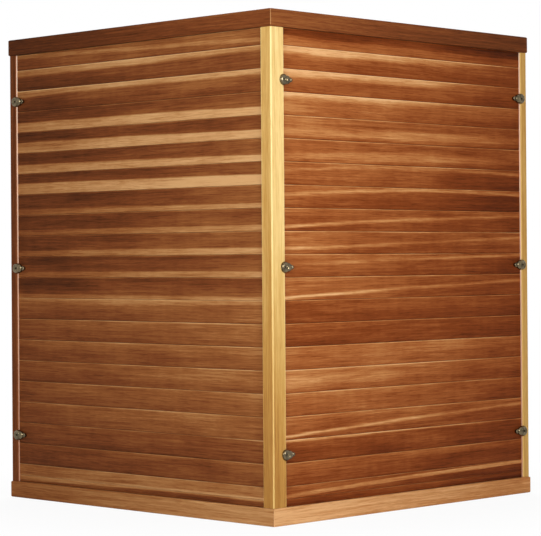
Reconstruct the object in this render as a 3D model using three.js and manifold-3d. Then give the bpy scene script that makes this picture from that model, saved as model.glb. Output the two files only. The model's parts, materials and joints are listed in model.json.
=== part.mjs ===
// Corner infrared sauna cabin in cedar: five walls on a mitred base, under a mitred roof fascia,
// with a glass door across the front corner.
// Millimetres, +Z up. The origin is on the floor, in the middle of the square that the two equal
// rear walls span. The rear walls lie on the +X and +Y sides, and the door faces -X -Y.
// Left and right are those of a person who stands outside and faces the door.

import * as THREE from 'three';
import { mergeVertices } from 'three/addons/utils/BufferGeometryUtils.js';
import Module from 'manifold-3d';

const wasm = await Module();
wasm.setup();

// Overall sizes
const HEIGHT = 1905;
const REAR_WALL = 1528; // each rear wall, over the faces of its posts
const SIDE_WALL = 660; // each short side wall, over the faces of its posts
const SEAT = 0.3; // clearance where two pieces meet
const EASE = 3; // softened arris on posts and trim boards

// Base and roof
const BASE_HEIGHT = 66;
const FASCIA_HEIGHT = 66;
const TRIM = 20; // thickness of the skirt and fascia boards
const OVERHANG = 4; // skirt and fascia stand this far proud of the posts
const FLOOR_BOARD = 18;
const BEARER_WIDTH = 45;
const BEARER_PITCH = 420;
const CEILING_BOARD = 16;
const JOIST_WIDTH = 30;
const JOIST_PITCH = 460;
const ROOF_COVER = 6;
const COVER_RECESS = 3; // the roof cover lies this far below the top of the fascia

// Wall build-up, from the face of the posts inwards
const RECESS = 9; // the outside boards lie behind the post faces
const CLADDING = 14;
const LIP = 18.4; // post lip between the outside boards and the lining
const LINING = 13;
const LIP_REACH = 30; // how far a post lip runs behind the boards
const BOARD_PITCH = 86;
const FOOT_STRIP = 27; // narrow strip between the base and the lowest board
const LOWEST_BOARD = 47.5; // the lowest board is cut to this height
const VEE = 2; // depth and half width of the groove between two boards

// Widths of the post faces
const REAR_POST_LEFT_FACE = 69; // the rear post as it shows on the left rear wall
const REAR_POST_RIGHT_FACE = 55; // the rear post as it shows on the right rear wall
const OUTER_POST_REAR_FACE = 40; // the left and right posts on the rear walls
const OUTER_POST_SIDE_FACE = 55; // the left and right posts on the side walls
const FRONT_POST_FACE = 40;

// Wall bolts, each with a tongue that hooks over a pin in the boards
const DRUM_RADIUS = 20.5;
const DRUM_HEIGHT = 9.8; // just over the post face
const CAP_RADIUS = 16;
const CAP_HEIGHT = 2.8; // above the drum
const CAP_EASE = 1.8;
const SHANK_RADIUS = 4;
const BOLT_OVER = 2; // bolt centre over the post, from the edge of its face
const BOLT_PITCH = 693;
const BOLT_ROWS = 3;
const TONGUE_REACH = 41; // from the bolt to the pin
const TONGUE_ROOT = 39; // width of the tongue at the bolt
const TONGUE_TIP = 19; // and at the pin
const TONGUE = 6;
const HOOK_RADIUS = 6.5;
const HOOK_HEIGHT = 9;
const HOOK_EASE = 2.5;

// Front wall, door opening and windows
const DOOR_OPENING = 620;
const HEADER_HEIGHT = 92;
const STOP_DEPTH = 24; // depth of the door stop behind the post faces
const STOP_WIDTH = 12;
const DOOR_GLASS = 8;
const GLASS_DEPTH = 12; // outer face of the door glass behind the post faces
const DOOR_GAP = 4;
const DOOR_FLOOR_GAP = 8;
const WINDOW_WIDTH = 150;
const WINDOW_HEIGHT = 600;
const WINDOW_DROP = 119; // window head below the top of the wall
const WINDOW_REBATE = 10;
const PANE = 5;
const PANE_DEPTH = 30;

// Door hinges
const KNUCKLE_RADIUS = 6.5;
const KNUCKLE_END = 28; // each of the two fixed knuckles of a hinge
const PIN_RADIUS = 3;
const HINGE_HEIGHT = 90;
const HINGE_REACH = 46; // from the pin to the far edge of a leaf
const HINGE_INSET = 240; // hinge centre from the top or foot of the glass
const LEAF = 4;
const INNER_LEAF = 3;
const CLAMP_RADIUS = 7; // spacer that passes through the glass
const KNUCKLE_PLAY = 0.7;

// Door handles
const GRIP_RADIUS = 14;
const GRIP_EASE = 4;
const GRIP_LENGTH = 420;
const GRIP_GAP = 38; // finger room between a grip and the glass
const GRIP_EDGE = 70; // grip centre from the free edge of the glass
const GRIP_HEIGHT = 960; // grip centre above the base
const POST_PITCH = 300; // between the two standoffs of a grip
const STANDOFF_RADIUS = 8;
const STUD_RADIUS = 4;
const STUD_SOCKET = 16;

// Control panel and its buttons
const CONTROL_WIDTH = 120;
const CONTROL_HEIGHT = 150;
const CONTROL_DEPTH = 14;
const CONTROL_CORNER = 12;
const CONTROL_DROP = 119; // centre below the window
const DISPLAY_WIDTH = 88;
const DISPLAY_HEIGHT = 42;
const DISPLAY_DEPTH = 1.5;
const DISPLAY_RISE = 34; // display centre above the panel centre
const BUTTON_RADIUS = 9;
const BUTTON_EASE = 1.2;
const BUTTON_PROUD = 2.5;
const BUTTON_LENGTH = 8;
const BUTTON_TRAVEL = 1.5;
const BUTTON_SPREAD = 46; // between the two button columns
const BUTTON_RISE = 32; // between the two button rows
const BUTTON_DROP = 32; // middle of the buttons below the panel centre

// Bench
const BENCH_LEVEL = 440; // seat height above the floor
const BENCH_DEPTH = 480;
const BENCH_SLATS = 5;
const SLAT_GAP = 8;
const SLAT = 22;
const BATTEN = 22;
const BATTEN_WIDTH = 60;
const LEDGER = 30;
const BENCH_FRONT = 18;
const BENCH_SETBACK = 30;
const FRONT_RAIL = 60;
const FRONT_SLOT = 14;
const FRONT_SLOT_PITCH = 44;

// Heaters and their guards
const HEATER_WIDTH = 640;
const HEATER_HEIGHT = 740;
const HEATER = 12;
const HEATER_LEVEL = 970; // heater centre above the base
const GUARD_MARGIN = 34; // guard rim around the heater
const GUARD_DEPTH = 36;
const GUARD_FACE = 12;
const GUARD_SLOT = 26;
const GUARD_SLOT_PITCH = 44;

// Roof vent, lamp and power box
const VENT_X = 330;
const VENT_Y = 330;
const VENT_LENGTH = 120;
const VENT_WIDTH = 90;
const VENT_TRUNK = 12; // wall of the wooden trunk through the roof
const VENT_LAP = 14; // the shutter covers the opening by this much all round
const VENT_TRAVEL = 130;
const SHUTTER = 6;
const RUNNER_WIDTH = 12;
const RUNNER_LIP = 6;
const RUNNER_LIP_HEIGHT = 4;
const KNOB_RADIUS = 10;
const KNOB_NECK = 5.5;
const KNOB_GRIP = 7; // height of the full width of the knob
const KNOB_HEIGHT = 16;
const LAMP_RADIUS = 90;
const LAMP_RIM = 12;
const LAMP_DROP = 34;
const BOX_LENGTH = 240;
const BOX_WIDTH = 150;
const BOX_HEIGHT = 30;
const BOX_X = -320;
const BOX_Y = 230;
const INLET_RADIUS = 14;
const INLET_BORE = 9;
const INLET_DEPTH = 14;

// Facets of a full turn, for pieces that show and for holes
const ROUND = 16;
const HOLE_ROUND = 10;
const DOME_RINGS = 3;
const QUARTER = Math.PI / 2;
const PAST = 5; // cutting shapes run past the faces that they cut

// Finishes
const CEDAR = { color: 0x8f5129, roughness: 0.62, metalness: 0 };
const RED_CEDAR = { color: 0x9c5a2f, roughness: 0.62, metalness: 0 };
const PALE_CEDAR = { color: 0xdcb56e, roughness: 0.58, metalness: 0 };
const DARK_CEDAR = { color: 0x6e3d20, roughness: 0.6, metalness: 0 };
const HEMLOCK = { color: 0xd2a56b, roughness: 0.6, metalness: 0 };
const NICKEL = { color: 0x6f6c60, roughness: 0.3, metalness: 1 };
const STEEL = { color: 0xb9bcbd, roughness: 0.28, metalness: 1 };
const TINTED_GLASS = { color: 0x9fb3ae, roughness: 0.05, metalness: 0 };
const CARBON = { color: 0x1b1b1d, roughness: 0.75, metalness: 0 };
const BLACK_PLASTIC = { color: 0x202124, roughness: 0.45, metalness: 0 };
const KEY_PLASTIC = { color: 0xd9d9d4, roughness: 0.5, metalness: 0 };
const OPAL = { color: 0xf2efe6, roughness: 0.35, metalness: 0 };
const GREY_STEEL = { color: 0x8c9093, roughness: 0.5, metalness: 1 };
const PLYWOOD = { color: 0xc9a878, roughness: 0.7, metalness: 0 };

// Heights and depths that follow from the sizes above
const wallTop = HEIGHT - FASCIA_HEIGHT;
const wallFoot = BASE_HEIGHT + SEAT;
const wallHead = wallTop - SEAT;
const lipNear = RECESS + CLADDING + SEAT;
const lipFar = lipNear + LIP;
const WALL = lipFar + SEAT + LINING;
const half = REAR_WALL / 2;
const innerHalf = half - WALL;
const ceilingFoot = wallTop + SEAT;
const ceilingTop = ceilingFoot + CEILING_BOARD;
const coverTop = HEIGHT - COVER_RECESS;
const coverFoot = coverTop - ROOF_COVER;
const joistTop = coverFoot - SEAT;
const benchTop = BASE_HEIGHT + BENCH_LEVEL;
const benchFoot = benchTop - SLAT - BATTEN;
const headerFoot = wallTop - HEADER_HEIGHT;

// Directions for profiles drawn in a plane and swept: along a wall, or from its inner face outwards
const SWEEP_ALONG = new THREE.Matrix4().makeBasis(
  new THREE.Vector3(0, 1, 0),
  new THREE.Vector3(0, 0, 1),
  new THREE.Vector3(1, 0, 0),
);
const SWEEP_OUTWARDS = new THREE.Matrix4().makeBasis(
  new THREE.Vector3(1, 0, 0),
  new THREE.Vector3(0, 0, 1),
  new THREE.Vector3(0, -1, 0),
);

// Closed solids from three.js geometry, for cutting and joining
function solid(geometry) {
  const bare = geometry.clone();
  bare.deleteAttribute('normal');
  bare.deleteAttribute('uv');
  const merged = mergeVertices(bare);
  const corners = merged.index.array;
  const kept = [];
  for (let i = 0; i < corners.length; i += 3) {
    const [a, b, c] = corners.slice(i, i + 3);
    if (a !== b && b !== c && c !== a) kept.push(a, b, c);
  }
  const mesh = new wasm.Mesh({
    numProp: 3,
    vertProperties: merged.attributes.position.array,
    triVerts: new Uint32Array(kept),
  });
  return new wasm.Manifold(mesh);
}

function joined(first, ...others) {
  return others.reduce((sum, other) => sum.add(other), first);
}

function without(body, ...cuts) {
  return cuts.reduce((rest, cut) => rest.subtract(cut), body);
}

function outline(points) {
  return new THREE.Shape(points.map(([x, y]) => new THREE.Vector2(x, y)));
}

function swept(shape, depth) {
  return new THREE.ExtrudeGeometry(shape, { depth, bevelEnabled: false, curveSegments: ROUND / 4 });
}

// A plan outline raised between two heights
function raised(points, z0, z1) {
  return solid(swept(outline(points), z1 - z0).translate(0, 0, z0));
}

// A profile of depths and heights swept along a wall, between two places on it
function sweptAlong(profile, x0, x1) {
  const start = Math.min(x0, x1);
  const length = Math.abs(x1 - x0);
  return solid(swept(outline(profile), length).applyMatrix4(SWEEP_ALONG).translate(start, 0, 0));
}

function box([x0, x1], [y0, y1], [z0, z1]) {
  const geometry = new THREE.BoxGeometry(Math.abs(x1 - x0), Math.abs(y1 - y0), Math.abs(z1 - z0));
  return solid(geometry.translate((x0 + x1) / 2, (y0 + y1) / 2, (z0 + z1) / 2));
}

// A profile of radii and depths turned about an axis that runs into the wall
function turnedInward(profile, x, z, facets = ROUND) {
  const points = profile.map(([radius, depth]) => new THREE.Vector2(radius, depth));
  return new THREE.LatheGeometry(points, facets).translate(x, 0, z);
}

// A profile of radii and heights turned about an upright axis
function turnedUpright(profile, x, y, facets = ROUND) {
  const points = profile.map(([radius, height]) => new THREE.Vector2(radius, height));
  return new THREE.LatheGeometry(points, facets).rotateX(QUARTER).translate(x, y, 0);
}

function rod(radius, from, to) {
  return [[0, from], [radius, from], [radius, to], [0, to]];
}

// Evenly spaced places about a middle
function spaced(count, pitch, middle) {
  return Array.from({ length: count }, (_, i) => middle + (i - (count - 1) / 2) * pitch);
}

function roundedRectangle(width, height, corner) {
  const x = width / 2 - corner;
  const y = height / 2 - corner;
  const shape = new THREE.Shape();
  [[x, y], [-x, y], [-x, -y], [x, -y]].forEach(([centreX, centreY], turn) => {
    shape.absarc(centreX, centreY, corner, turn * QUARTER, (turn + 1) * QUARTER);
  });
  return shape;
}

const cabin = new THREE.Group();

function piece(parent, name, shape, finish) {
  const made = shape.getMesh();
  const geometry = new THREE.BufferGeometry();
  geometry.setAttribute('position', new THREE.BufferAttribute(made.vertProperties, 3));
  geometry.setIndex(new THREE.BufferAttribute(made.triVerts, 1));
  geometry.computeVertexNormals();
  const mesh = new THREE.Mesh(geometry, new THREE.MeshStandardMaterial(finish));
  mesh.name = name;
  parent.add(mesh);
}

// The five walls, each in its own group: x along the wall to the right as seen from outside,
// y into the cabin from the post faces, z up
function makeWall(name, start, end, startFace, endFace) {
  const along = end.clone().sub(start);
  const group = new THREE.Group();
  group.position.set(start.x, start.y, 0);
  group.rotation.z = Math.atan2(along.y, along.x);
  group.updateMatrix();
  cabin.add(group);
  const length = along.length();
  return { name, group, start, length, along: along.normalize(), startFace, endFace };
}

const corners = {
  rear: new THREE.Vector2(half, half),
  left: new THREE.Vector2(-half, half),
  frontLeft: new THREE.Vector2(-half, half - SIDE_WALL),
  frontRight: new THREE.Vector2(half - SIDE_WALL, -half),
  right: new THREE.Vector2(half, -half),
};
const { rear, left, frontLeft, frontRight, right } = corners;
const leftRear = makeWall('left_rear', rear, left, REAR_POST_LEFT_FACE, OUTER_POST_REAR_FACE);
const leftSide = makeWall('left_side', left, frontLeft, OUTER_POST_SIDE_FACE, FRONT_POST_FACE);
const front = makeWall('front', frontLeft, frontRight, FRONT_POST_FACE, FRONT_POST_FACE);
const rightSide = makeWall('right_side', frontRight, right, FRONT_POST_FACE, OUTER_POST_SIDE_FACE);
const rightRear = makeWall('right_rear', right, rear, OUTER_POST_REAR_FACE, REAR_POST_RIGHT_FACE);
const walls = [leftRear, leftSide, front, rightSide, rightRear];

// Slope of the mitre at each corner, and how far each post reaches along the inner face of a wall
walls.forEach((wall, i) => {
  const before = walls[(i + walls.length - 1) % walls.length];
  const turn = Math.atan2(before.along.cross(wall.along), before.along.dot(wall.along));
  wall.startMitre = Math.tan(turn / 2);
  wall.startInner = Math.max(wall.startFace, WALL * wall.startMitre);
  before.endMitre = wall.startMitre;
  before.endInner = Math.max(before.endFace, WALL * wall.startMitre);
});

function planPoint(wall, x, y) {
  const place = wall.start.clone().addScaledVector(wall.along, x);
  return [place.x - wall.along.y * y, place.y + wall.along.x * y];
}

function insetPlan(depth) {
  return walls.map((wall) => planPoint(wall, depth * wall.startMitre, depth));
}

// Posts: one section for the corner of two walls, with eased arrises and a lip behind each wall's boards
function postPlan(before, after) {
  const onBefore = (x, y) => planPoint(before, before.length - x, y);
  const onAfter = (x, y) => planPoint(after, x, y);
  const points = [
    onBefore(before.endFace, EASE),
    onBefore(before.endFace - EASE, 0),
    onBefore(EASE, 0),
    onAfter(EASE, 0),
    onAfter(after.startFace - EASE, 0),
    onAfter(after.startFace, EASE),
    onAfter(after.startFace, lipNear),
    onAfter(after.startFace + LIP_REACH, lipNear),
    onAfter(after.startFace + LIP_REACH, lipFar),
    onAfter(after.startInner, lipFar),
    onAfter(after.startInner, WALL),
    onAfter(WALL * after.startMitre, WALL),
    onBefore(before.endInner, WALL),
    onBefore(before.endInner, lipFar),
    onBefore(before.endFace + LIP_REACH, lipFar),
    onBefore(before.endFace + LIP_REACH, lipNear),
    onBefore(before.endFace, lipNear),
  ];
  return points.filter(([x, y], i) => {
    const [nextX, nextY] = points[(i + 1) % points.length];
    return Math.hypot(nextX - x, nextY - y) > SEAT;
  });
}

// Bolts clamp the rear walls to the posts, over the proud edge of each post; boards is the way along the
// wall from the post to the boards
const boltMiddle = (wallFoot + wallHead) / 2;
const boltLevels = spaced(BOLT_ROWS, BOLT_PITCH, boltMiddle);
const leftRearEdge = leftRear.length - leftRear.endFace;
const boltRows = [
  { name: 'left_rear_corner_bolt', wall: leftRear, x: leftRear.startFace - BOLT_OVER, boards: 1 },
  { name: 'left_rear_edge_bolt', wall: leftRear, x: leftRearEdge + BOLT_OVER, boards: -1 },
  { name: 'right_rear_edge_bolt', wall: rightRear, x: rightRear.startFace - BOLT_OVER, boards: 1 },
];

function boltHoles(row) {
  const hole = rod(SHANK_RADIUS + SEAT, RECESS - PAST, lipFar + PAST);
  return boltLevels.map((z) => turnedInward(hole, row.x, z, HOLE_ROUND));
}

function boltSeats(row) {
  const room = rod(DRUM_RADIUS + 2 * SEAT, -PAST, RECESS + SEAT);
  return boltLevels.map((z) => turnedInward(room, row.x, z));
}

function makePost(name, before, after, bolts, finish) {
  const body = raised(postPlan(before, after), wallFoot, wallHead);
  const cuts = bolts.flatMap((row) => (
    [...boltHoles(row), ...boltSeats(row)].map((cut) => solid(cut.applyMatrix4(row.wall.group.matrix)))
  ));
  piece(cabin, name, without(body, ...cuts), finish);
}

makePost('rear_post', rightRear, leftRear, [boltRows[0]], PALE_CEDAR);
makePost('left_post', leftRear, leftSide, [boltRows[1]], PALE_CEDAR);
makePost('right_post', rightSide, rightRear, [boltRows[2]], CEDAR);
makePost('front_left_post', leftSide, front, [], PALE_CEDAR);
makePost('front_right_post', front, rightSide, [], PALE_CEDAR);

// Bolt: drum, round cap and shank, with a tapered tongue that lies on the boards and the pin at its tip
const drumFoot = RECESS - SEAT;
const drumTop = drumFoot - DRUM_HEIGHT;
const capTop = drumTop - CAP_HEIGHT;
const boltProfile = [
  [0, capTop],
  [CAP_RADIUS - CAP_EASE, capTop],
  [CAP_RADIUS, capTop + CAP_EASE],
  [CAP_RADIUS, drumTop],
  [DRUM_RADIUS, drumTop],
  [DRUM_RADIUS, drumFoot],
  [SHANK_RADIUS, drumFoot],
  [SHANK_RADIUS, lipFar - SEAT],
  [0, lipFar - SEAT],
];
const hookTop = drumFoot - HOOK_HEIGHT;
const hookProfile = [
  [0, hookTop],
  [HOOK_RADIUS - HOOK_EASE, hookTop],
  [HOOK_RADIUS, hookTop + HOOK_EASE],
  [HOOK_RADIUS, drumFoot],
  [0, drumFoot],
];

function boltTongue(row, z) {
  const reach = row.boards * TONGUE_REACH;
  const root = TONGUE_ROOT / 2;
  const tip = TONGUE_TIP / 2;
  const plan = [[0, -root], [reach, -tip], [reach, tip], [0, root]];
  const plate = swept(outline(plan), TONGUE).applyMatrix4(SWEEP_OUTWARDS);
  return joined(
    solid(plate.translate(row.x, drumFoot, z)),
    solid(turnedInward(hookProfile, row.x + reach, z, HOLE_ROUND)),
  );
}

for (const row of boltRows) {
  boltLevels.forEach((z, i) => {
    const body = joined(solid(turnedInward(boltProfile, row.x, z)), boltTongue(row, z));
    piece(row.wall.group, `${row.name}_${i + 1}`, body, NICKEL);
  });
}

// Tongued boards: a profile of depths and heights with a vee groove at every joint
function boardedProfile(y0, y1, outsideGrooved, insideGrooved) {
  const stripTop = BASE_HEIGHT + FOOT_STRIP;
  const joints = [stripTop];
  for (let z = stripTop + LOWEST_BOARD; z < wallHead - 2 * VEE; z += BOARD_PITCH) joints.push(z);
  const grooves = (y, depth) => joints.flatMap((z) => [[y, z - VEE], [y + depth, z], [y, z + VEE]]);
  const up = outsideGrooved ? grooves(y0, VEE) : [];
  const down = insideGrooved ? grooves(y1, -VEE).reverse() : [];
  return [[y0, wallFoot], ...up, [y0, wallHead], [y1, wallHead], ...down, [y1, wallFoot]];
}

// Rear walls: boards outside, and a lining inside that carries the ledger under the bench
function makeRearWall(wall, ledgerStart, ledgerEnd, finish) {
  const boards = sweptAlong(
    boardedProfile(RECESS, RECESS + CLADDING, true, false),
    wall.startFace + SEAT,
    wall.length - wall.endFace - SEAT,
  );
  const holes = boltRows.filter((row) => row.wall === wall).flatMap(boltHoles);
  piece(wall.group, `${wall.name}_cladding`, without(boards, ...holes.map(solid)), finish);
  const lining = sweptAlong(
    boardedProfile(lipFar + SEAT, WALL, false, true),
    wall.startInner + SEAT,
    wall.length - wall.endInner - SEAT,
  );
  const ledgerTop = benchFoot - SEAT;
  const ledgerY = [WALL - VEE, WALL + LEDGER];
  const ledger = box([ledgerStart, ledgerEnd], ledgerY, [ledgerTop - LEDGER, ledgerTop]);
  piece(wall.group, `${wall.name}_lining`, joined(lining, ledger), HEMLOCK);
}

makeRearWall(leftRear, leftRear.startInner + SEAT, leftRear.length - leftRear.endInner - SEAT, RED_CEDAR);
makeRearWall(rightRear, rightRear.startInner + SEAT, rightRear.length - WALL - LEDGER - SEAT, CEDAR);

// Room that a solid panel leaves for the post at its end, whose lip runs into the panel
function postRoom(face, inner, place) {
  return [
    box([place(-PAST), place(face + LIP_REACH + SEAT)], [lipNear - SEAT, lipFar + SEAT], [0, HEIGHT]),
    box([place(-PAST), place(inner + SEAT)], [lipFar, WALL + PAST], [0, HEIGHT]),
  ];
}

// Side walls: one insulated panel each, boarded on both faces
for (const wall of [leftSide, rightSide]) {
  const body = sweptAlong(
    boardedProfile(RECESS, WALL, true, true),
    wall.startFace + SEAT,
    wall.length - wall.endFace - SEAT,
  );
  const room = [
    ...postRoom(wall.startFace, wall.startInner, (x) => x),
    ...postRoom(wall.endFace, wall.endInner, (x) => wall.length - x),
  ];
  piece(wall.group, `${wall.name}_panel`, without(body, ...room), CEDAR);
}

// Skirt and fascia: eased boards, mitred together round the cabin
function mitredBoard(wall, z0, z1) {
  const y0 = -OVERHANG;
  const y1 = TRIM - OVERHANG;
  const easedFace = [[y0 + EASE, z0], [y0, z0 + EASE], [y0, z1 - EASE], [y0 + EASE, z1]];
  const profile = [...easedFace, [y1, z1], [y1, z0]];
  const startGap = (SEAT / 2) * Math.hypot(1, wall.startMitre);
  const endGap = (SEAT / 2) * Math.hypot(1, wall.endMitre);
  const plan = [
    [y0 * wall.startMitre + startGap, y0],
    [wall.length - y0 * wall.endMitre - endGap, y0],
    [wall.length - y1 * wall.endMitre - endGap, y1],
    [y1 * wall.startMitre + startGap, y1],
  ];
  return sweptAlong(profile, -TRIM, wall.length + TRIM).intersect(raised(plan, z0 - PAST, z1 + PAST));
}

for (const wall of walls) {
  const skirtFinish = wall === leftRear ? PALE_CEDAR : CEDAR;
  piece(wall.group, `${wall.name}_skirt`, mitredBoard(wall, 0, BASE_HEIGHT), skirtFinish);
  piece(wall.group, `${wall.name}_fascia`, mitredBoard(wall, wallTop, HEIGHT), DARK_CEDAR);
}

// Boards laid side by side across the whole plan, grooved on the face that shows, at height zFace
function planBoards(zFace, zBack) {
  const groove = Math.sign(zBack - zFace) * VEE;
  const points = [];
  for (let y = -half + BOARD_PITCH; y < half; y += BOARD_PITCH) {
    points.push([y - VEE, zFace], [y, zFace + groove], [y + VEE, zFace]);
  }
  const profile = [[-half, zFace], ...points, [half, zFace], [half, zBack], [-half, zBack]];
  return sweptAlong(profile, -half, half);
}

// Straight timbers under or over those boards, one through the middle of the plan
function planTimbers(width, pitch, z0, z1) {
  const count = 2 * Math.floor(half / pitch) + 1;
  return spaced(count, pitch, 0).map((y) => box([-half, half], [y - width / 2, y + width / 2], [z0, z1]));
}

const trimInset = TRIM - OVERHANG + SEAT;

// Floor: boards on bearers that stand on the ground, inside the skirt
const floorPlan = raised(insetPlan(trimInset), -PAST, BASE_HEIGHT + PAST);
const floorBoards = planBoards(BASE_HEIGHT, BASE_HEIGHT - FLOOR_BOARD);
const bearers = planTimbers(BEARER_WIDTH, BEARER_PITCH, 0, BASE_HEIGHT - FLOOR_BOARD + VEE);
piece(cabin, 'floor_deck', joined(floorBoards, ...bearers).intersect(floorPlan), HEMLOCK);

// Ceiling: boards under joists, a trunk for the vent, and runners for its shutter
const shutterLength = VENT_LENGTH + 2 * VENT_LAP;
const shutterWidth = VENT_WIDTH + 2 * VENT_LAP;
const shutterTop = ceilingFoot - SEAT;
const shutterFoot = shutterTop - SHUTTER;
const ventX = [VENT_X - VENT_LENGTH / 2, VENT_X + VENT_LENGTH / 2];
const ventY = [VENT_Y - VENT_WIDTH / 2, VENT_Y + VENT_WIDTH / 2];
const runnerX = [VENT_X - shutterLength / 2 - VENT_TRAVEL - SEAT, VENT_X + shutterLength / 2 + SEAT];
const runnerFoot = shutterFoot - SEAT - RUNNER_LIP_HEIGHT;

function shutterRunner(side) {
  const edge = VENT_Y + side * (shutterWidth / 2 + SEAT);
  const profile = [
    [edge - side * RUNNER_LIP, runnerFoot],
    [edge + side * RUNNER_WIDTH, runnerFoot],
    [edge + side * RUNNER_WIDTH, ceilingFoot + VEE],
    [edge, ceilingFoot + VEE],
    [edge, runnerFoot + RUNNER_LIP_HEIGHT],
    [edge - side * RUNNER_LIP, runnerFoot + RUNNER_LIP_HEIGHT],
  ];
  return sweptAlong(profile, runnerX[0] - RUNNER_WIDTH, runnerX[1] + RUNNER_WIDTH);
}

function runnerStop(x0, x1) {
  const reach = shutterWidth / 2 + RUNNER_WIDTH;
  return box([x0, x1], [VENT_Y - reach, VENT_Y + reach], [runnerFoot, ceilingFoot + VEE]);
}

const trunk = box(
  [ventX[0] - VENT_TRUNK, ventX[1] + VENT_TRUNK],
  [ventY[0] - VENT_TRUNK, ventY[1] + VENT_TRUNK],
  [ceilingTop - VEE, joistTop],
);
const ventBore = box(ventX, ventY, [ceilingFoot - PAST, HEIGHT + PAST]);
const roofPlan = raised(insetPlan(trimInset), ceilingFoot - PAST, HEIGHT + PAST);
const joists = planTimbers(JOIST_WIDTH, JOIST_PITCH, ceilingTop - VEE, joistTop);
const ceilingBody = joined(planBoards(ceilingFoot, ceilingTop), ...joists, trunk).intersect(roofPlan);
const shutterGuides = [
  shutterRunner(1),
  shutterRunner(-1),
  runnerStop(runnerX[0] - RUNNER_WIDTH, runnerX[0]),
  runnerStop(runnerX[1], runnerX[1] + RUNNER_WIDTH),
];
piece(cabin, 'ceiling_panel', joined(without(ceilingBody, ventBore), ...shutterGuides), HEMLOCK);

// Vent shutter with its knob, shut at rest
const shutterPlate = box(
  [VENT_X - shutterLength / 2, VENT_X + shutterLength / 2],
  [VENT_Y - shutterWidth / 2, VENT_Y + shutterWidth / 2],
  [shutterFoot, shutterTop],
);
const knobFoot = shutterFoot - KNOB_HEIGHT;
const knobProfile = [
  [0, knobFoot],
  [KNOB_RADIUS - EASE, knobFoot],
  [KNOB_RADIUS, knobFoot + EASE],
  [KNOB_RADIUS, knobFoot + KNOB_GRIP],
  [KNOB_NECK, shutterFoot - EASE],
  [KNOB_NECK, shutterFoot + SHUTTER / 2],
  [0, shutterFoot + SHUTTER / 2],
];
const knob = solid(turnedUpright(knobProfile, VENT_X, VENT_Y));
piece(cabin, 'vent_shutter', joined(shutterPlate, knob), HEMLOCK);

// Power box in the roof space, with the inlet that comes up through the roof cover
const boxFoot = ceilingTop + SEAT;
const boxTop = boxFoot + BOX_HEIGHT;
const inletTop = coverTop + COVER_RECESS / 2;
const powerCase = box(
  [BOX_X - BOX_LENGTH / 2, BOX_X + BOX_LENGTH / 2],
  [BOX_Y - BOX_WIDTH / 2, BOX_Y + BOX_WIDTH / 2],
  [boxFoot, boxTop],
);
const inletBoss = solid(turnedUpright(rod(INLET_RADIUS, boxTop - PAST, inletTop), BOX_X, BOX_Y));
const inletHole = rod(INLET_BORE, inletTop - INLET_DEPTH, inletTop + PAST);
const inletBore = solid(turnedUpright(inletHole, BOX_X, BOX_Y));
piece(cabin, 'power_box', without(joined(powerCase, inletBoss), inletBore), GREY_STEEL);

// Roof cover inside the fascia, open over the vent and round the inlet
const coverPlate = raised(insetPlan(trimInset), coverFoot, coverTop);
const inletCut = rod(INLET_RADIUS + SEAT, coverFoot - PAST, HEIGHT + PAST);
const inletRoom = solid(turnedUpright(inletCut, BOX_X, BOX_Y));
piece(cabin, 'roof_cover', without(coverPlate, ventBore, inletRoom), PLYWOOD);

// Ceiling lamp: a rim and a shallow opal dome
const lampTop = ceilingFoot - SEAT;
const lampRimFoot = lampTop - LAMP_RIM;
const lampLens = LAMP_RADIUS - LAMP_RIM;
const lampDome = Array.from({ length: DOME_RINGS + 1 }, (_, i) => {
  const angle = (i / DOME_RINGS) * QUARTER;
  return [lampLens * Math.sin(angle), lampRimFoot - (LAMP_DROP - LAMP_RIM) * Math.cos(angle)];
});
const lampProfile = [
  ...lampDome,
  [LAMP_RADIUS - EASE, lampRimFoot],
  [LAMP_RADIUS, lampRimFoot + EASE],
  [LAMP_RADIUS, lampTop],
  [0, lampTop],
];
piece(cabin, 'ceiling_light', solid(turnedUpright(lampProfile, 0, 0)), OPAL);

// Front wall: two boarded panels with a window each, and a header over the door
const openingStart = (front.length - DOOR_OPENING) / 2;
const openingEnd = openingStart + DOOR_OPENING;
const windowMiddle = (FRONT_POST_FACE + openingStart) / 2;
const windowHead = wallTop - WINDOW_DROP;
const windowFoot = windowHead - WINDOW_HEIGHT;

function windowRoom(place, margin) {
  const reach = WINDOW_WIDTH / 2 + margin;
  return {
    x: [place(windowMiddle - reach), place(windowMiddle + reach)],
    z: [windowFoot - margin, windowHead + margin],
  };
}

function makeFrontPanel(side, place) {
  const body = sweptAlong(
    boardedProfile(RECESS, WALL, true, true),
    place(FRONT_POST_FACE + SEAT),
    place(openingStart + STOP_WIDTH),
  );
  const stopEnd = place(openingStart + STOP_WIDTH + PAST);
  const light = windowRoom(place, 0);
  const rebate = windowRoom(place, WINDOW_REBATE);
  const cuts = [
    box([place(openingStart), stopEnd], [0, STOP_DEPTH], [0, HEIGHT]),
    box([place(openingStart), stopEnd], [0, WALL + PAST], [headerFoot - SEAT, HEIGHT]),
    box(light.x, [0, WALL + PAST], light.z),
    box(rebate.x, [PANE_DEPTH, WALL + PAST], rebate.z),
    ...postRoom(front.startFace, front.startInner, place),
  ];
  piece(front.group, `front_${side}_panel`, without(body, ...cuts), CEDAR);
  const pane = windowRoom(place, WINDOW_REBATE - SEAT);
  const paneY = [PANE_DEPTH + SEAT, PANE_DEPTH + SEAT + PANE];
  piece(front.group, `${side}_window`, box(pane.x, paneY, pane.z), TINTED_GLASS);
}

const fromRight = (x) => front.length - x;
makeFrontPanel('left', (x) => x);
makeFrontPanel('right', fromRight);

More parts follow.
